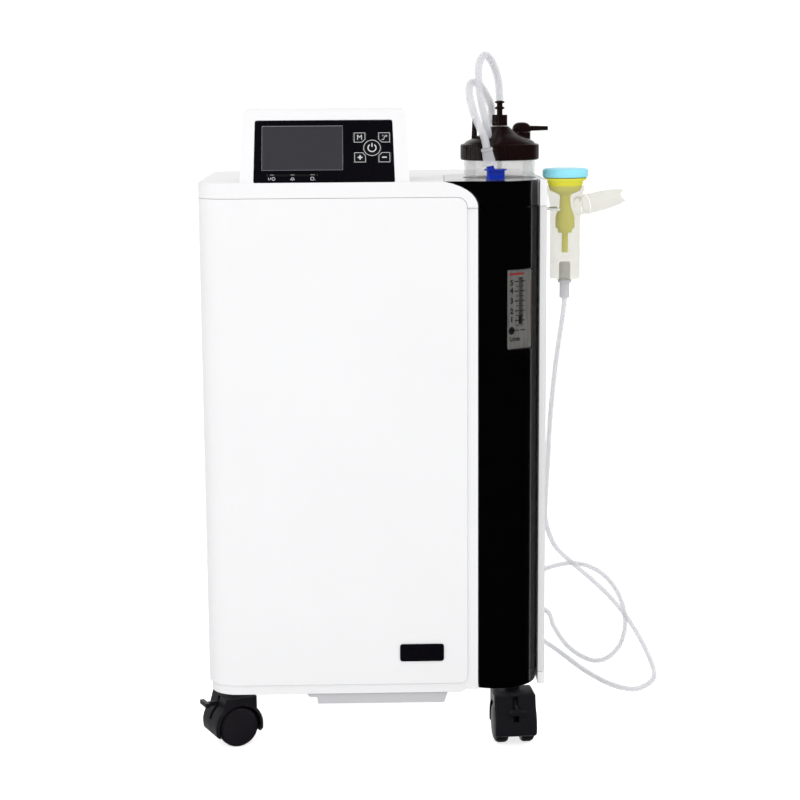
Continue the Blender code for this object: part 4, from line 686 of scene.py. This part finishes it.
def console():
    """The black window with its screen, the keys with their printed signs, and the lamps."""
    refined("display_panel", 0.0)
    refined("lcd_screen", 0.0)
    refined("status_lights", 0.0002, 1)
    for key in (*KEYS, "power_button"):
        refined(key, 0.0004, 2)
    inner = 0.0004
    left, right, low, high = LCD_LEFT + inner, LCD_RIGHT - inner, LCD_LOW + inner, LCD_HIGH - inner
    inset = [(left, low), (right, low), (right, high), (left, high)]
    top = [(LCD_LEFT, high), (LCD_RIGHT, high)]
    edges = [ribbon(top, 0.0007, 0.0002), ribbon(inset, 0.0003, 0.0002, closed=True)]
    frame_mesh = moved(joined("screen_edge", edges), z=-0.00045)
    piece("screen_edge", frame_mesh, SCREEN_EDGE, "cabinet", AT_CONSOLE)

    signs = {
        "mode_button": [lettering("M", 0.0086, PRINT)],
        "timer_button": [
            ribbon(
                [(-0.0030, -0.0026), (-0.0006, -0.0026), (0.0006, 0.0018), (0.0032, 0.0018)], 0.00060, PRINT
            ),
            ribbon([(0.0018, 0.0030), (0.0034, 0.0018), (0.0018, 0.0006)], 0.00050, PRINT),
            ribbon([(-0.0024, 0.0014), (-0.0008, 0.0030)], 0.00050, PRINT),
        ],
        "plus_button": [
            ribbon([(-0.0028, 0), (0.0028, 0)], 0.0015, PRINT),
            ribbon([(0, -0.0028), (0, 0.0028)], 0.0015, PRINT * 1.1),
        ],
        "minus_button": [ribbon([(-0.0028, 0), (0.0028, 0)], 0.0015, PRINT)],
    }
    for key, (x, v) in KEYS.items():
        drawn = joined(f"{key}_sign", [key_frame(x, v), *signs[key]])
        piece(f"{key}_sign", moved(drawn, x, v, KEY_TOP), PRINT_WHITE, key, AT_CONSOLE)
    ring = ribbon(arc(0.0096, 0, 360, 48)[:-1], 0.00060, PRINT, closed=True)
    bow = ribbon(arc(0.0046, 125, 415, 30), 0.00125, PRINT)
    bar = ribbon([(0, 0.0012), (0, 0.0060)], 0.00125, PRINT * 1.1)
    drawn = moved(joined("power_sign", [ring, bow, bar]), *POWER, KEY_TOP)
    piece("power_button_sign", drawn, PRINT_WHITE, "power_button", AT_CONSOLE)

    lamps = [block((x - 0.0022, x + 0.0022), (0.0142, 0.0149), (-0.00022, 0.00002)) for x in LAMP_X]
    piece("lamp_windows", joined("lamp_windows", lamps), LAMP, "cabinet", AT_CONSOLE)
    power_icon = [
        ribbon([(-0.0040, -0.0016), (-0.0040, 0.0016)], 0.00055, PRINT),
        ribbon([(-0.0026, -0.0016), (-0.0012, 0.0016)], 0.00050, PRINT),
        ribbon(arc(0.0018, 0, 360, 20, 0.0016)[:-1], 0.00055, PRINT, closed=True),
    ]
    bell_icon = [
        ribbon([(-0.0026, -0.0012), (0.0026, -0.0012)], 0.00055, PRINT),
        ribbon(arc(0.0018, 0, 180, 12, 0.0, -0.0006), 0.00055, PRINT),
        ribbon([(-0.0004, -0.0020), (0.0004, -0.0020)], 0.00050, PRINT),
    ]
    round_icon = [
        ribbon(arc(0.0019, 0, 360, 20, -0.0004)[:-1], 0.00060, PRINT, closed=True),
        ribbon([(0.0022, -0.0016), (0.0032, -0.0016)], 0.00045, PRINT),
    ]
    for name, x, shapes in zip(("run", "alarm", "flow"), LAMP_X, (power_icon, bell_icon, round_icon)):
        mesh = moved(joined(f"{name}_icon", shapes), x, 0.0098)
        piece(f"{name}_icon", mesh, PRINT_WHITE, "cabinet", AT_CONSOLE)


LAMP_X = (-0.1128, -0.0895, -0.0666)

# ---------------------------------------------------------------- flowmeter and outlet

FLOW_MARKS = (0.0326, 0.0212, 0.0098, -0.0015, -0.0129, -0.0243)
DIGITS_AT = (0.0310, 0.0220, 0.0100, -0.0020, -0.0115)
WINDOW_CORNER = 0.0024


def rounded_window():
    """The flowmeter's body with the four corners of its window rounded."""
    made = refined("flowmeter_body", 0.0004, 2)
    shape = bmesh.new()
    shape.from_mesh(made.data)
    outward = AT_FLOW.to_3x3() @ Vector((0, 0, 1))
    back = AT_FLOW.inverted()
    half = max(abs((back @ v.co).x) for v in shape.verts)
    tall = max(abs((back @ v.co).y) for v in shape.verts)
    corners = []
    for edge in shape.edges:
        here = back @ ((edge.verts[0].co + edge.verts[1].co) / 2)
        along = (edge.verts[1].co - edge.verts[0].co).normalized()
        if abs(along.dot(outward)) > 0.99 and abs(here.x) > half - 0.0004 and abs(here.y) > tall - 0.0004:
            corners.append(edge)
    bmesh.ops.bevel(shape, geom=corners, offset=WINDOW_CORNER, segments=5, profile=0.5, affect="EDGES")
    shape.to_mesh(made.data)
    shape.free()
    smooth(made.data)


def flowmeter():
    """The scale with its divisions and numbers, the red band at its top, the float and the adjuster."""
    rounded_window()
    refined("flow_float", 0.0)
    refined("flow_knob", 0.0003, 2)
    step = (FLOW_MARKS[0] - FLOW_MARKS[-1]) / 5
    marks = []
    for k in range(11):
        height = FLOW_MARKS[0] - (k / 2) * step
        reach, bar = (0.0077, 0.0010) if k % 2 == 0 else (0.0056, 0.0007)
        marks.append(ribbon([(-reach, height), (-0.0012, height)], bar, PRINT))
        marks.append(ribbon([(0.0012, height), (reach, height)], bar, PRINT))
    for digit, mark in zip("54321", DIGITS_AT):
        marks.append(lettering(digit, 0.0088, PRINT, -0.0120, mark, 0.0003))
    marks.append(lettering("L/min", 0.0068, PRINT, -0.0070, -0.0345, 0.00018))
    face = -0.0001
    drawn = moved(joined("scale_marks", marks), z=face)
    piece("scale_marks", drawn, DARK_PRINT_AND_RECESS_SHADE, "cabinet", AT_FLOW)
    red = [
        ribbon([(-0.0150, 0.0412), (0.0060, 0.0412)], 0.0026, PRINT),
        ribbon([(0.0163, 0.0330), (0.0163, -0.0280)], 0.0004, PRINT),
    ]
    drawn = moved(joined("scale_red", red), z=face)
    piece("scale_red", drawn, PRINT_RED, "cabinet", AT_FLOW)


OUTLET_X, OUTLET_Y, OUTLET_Z = 0.1443, 0.0350, 0.6765


def lobed(radius_at, low, high, steps=72):
    """A disc whose rim follows radius_at(angle in degrees), between two heights."""
    shape = bmesh.new()
    rim = []
    for k in range(steps):
        angle = 360 * k / steps
        r = radius_at(angle)
        rim.append((r * math.cos(math.radians(angle)), r * math.sin(math.radians(angle))))
    lower = [shape.verts.new((x, y, low)) for x, y in rim]
    upper = [shape.verts.new((x, y, high)) for x, y in rim]
    shape.faces.new(lower[::-1])
    shape.faces.new(upper)
    for k in range(steps):
        m = (k + 1) % steps
        shape.faces.new((lower[k], lower[m], upper[m], upper[k]))
    return to_mesh("lobed", shape)


def outlet():
    """The blue outlet: a foot, a body with three lobes, a thin notched flange and the stub under the hose."""

    def body_rim(angle):
        return 0.0092 + 0.0022 * max(0.0, math.cos(math.radians(3 * angle + 90))) ** 0.6

    def flange_rim(angle):
        return 0.0130 if angle % 60 > 10 else 0.0119

    stub = turned([(0.0, 0.0), (0.0052, 0.0), (0.0042, 0.0064), (0.0, 0.0064)], 24, False)
    lean = Matrix.Translation((-0.0055, -0.0028, 0.0098)) @ Matrix.Rotation(math.radians(-12), 4, "Y")
    stub.transform(lean)
    foot = [(0.0, 0.0004), (0.0115, 0.0004), (0.0115, 0.0034), (0.0104, 0.0044), (0.0, 0.0044)]
    shapes = [
        turned(foot, 48, False),
        lobed(body_rim, 0.0040, 0.0112),
        lobed(flange_rim, 0.0108, 0.0126, 144),
        stub,
    ]
    place = AT_CABINET @ Matrix.Translation((OUTLET_X, OUTLET_Y, OUTLET_Z))
    mesh = smooth(joined("oxygen_outlet_finish", shapes))
    made = piece("oxygen_outlet_finish", mesh, LOOKS["blue_outlet"], "cabinet", place)
    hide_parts("oxygen_outlet")


# ---------------------------------------------------------------- humidifier


def humidifier():
    """The clear bottle with its ribbed cap, inlet nut and outlet elbow, and the water in it."""
    refined("humidifier_bottle", 0.0005, 2)
    refined("humidifier_cap", 0.0005, 2)
    refined("inlet_nut", 0.0003, 2)
    refined("outlet_elbow", 0.0007, 3)
    refined("diffuser_tube", 0.0004, 1)
    refined("hose_cuff", 0.0003, 2, LOOKS["hose"])
    at_bottle = AT_CABINET @ Matrix.Translation((BOTTLE_X, BOTTLE_Y, 0))
    ribs = []
    count = 72
    for i in range(count):
        rib = block((0.0460, 0.04645), (-0.0006, 0.0006), (0.6990, 0.7145))
        rib.transform(Matrix.Rotation(2 * math.pi * (i + 0.5) / count, 4, "Z"))
        ribs.append(rib)
    mesh = joined("cap_ribs", ribs)
    piece("cap_ribs", mesh, LOOKS["humidifier_cap"], "humidifier", at_bottle)
    low, level, radius = 0.5500, 0.6250, 0.0398
    outline = [(0.0, level), (radius, level), (radius, low + 0.006), (0.0340, low), (0.0, low)]
    water = turned(outline, 48, False)
    piece("water", smooth(water), WATER, "humidifier", at_bottle)


# ---------------------------------------------------------------- nebulizer


def nebulizer():
    """The frosted cup over its yellow insert, with lid, mouthpiece and connector."""
    refined("nebulizer_cup", 0.0003, 2)
    core = turned(
        [
            (0.0, 0.6612), (0.0150, 0.6642), (0.0204, 0.6664), (0.0206, 0.6750), (0.0262, 0.6750),
            (0.0246, 0.6722), (0.0222, 0.6718), (0.0180, 0.6600), (0.0066, 0.6545), (0.0062, 0.6500),
            (0.0070, 0.6400), (0.0113, 0.6295), (0.0115, 0.6275), (0.0115, 0.6152), (0.0088, 0.6150),
            (0.0082, 0.6098), (0.0038, 0.6096), (0.0038, 0.5862), (0.0, 0.5862),
        ], 48, False,
    )
    at_cup = AT_CABINET @ Matrix.Translation((CUP_X, CUP_Y, 0))
    look = LOOKS["yellow_insert"]
    made = piece("nebulizer_core_finish", smooth(core), look, "nebulizer", at_cup)
    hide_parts("nebulizer_core")
    refined("nebulizer_lid", 0.0012, 3)
    refined("hose_connector", 0.0003, 2)
    refined("mouthpiece", 0.0004, 2)


# ---------------------------------------------------------------- casters


def casters():
    """Twin-wheel casters: their hoods and wheels, and the brake levers of the front pair."""
    for name in ("front_left", "front_right", "rear_left", "rear_right"):
        refined(f"caster_{name}_housing", 0.0008, 3)
        refined(f"caster_{name}_wheels", 0.0008, 3)
    for name in ("front_left", "front_right"):
        refined(f"caster_{name}_brake_lever", 0.0010, 3)


def inside():
    """The pieces inside the cabinet keep their own solids."""
    for node in (
        "inner_frame", "compressor", "sieve_bed_left", "sieve_bed_right", "oxygen_tank", "valve_block",
        "cooling_fan", "circuit_board",
    ):
        slots = frame["nodes"][node].material_slots
        slots[0].material = LOOKS[SLOT_OF[node]]


camera_and_light()
cabinet()
back_details()
console()
flowmeter()
outlet()
humidifier()
hoses()
nebulizer()
casters()
inside()

bpy.context.view_layer.update()
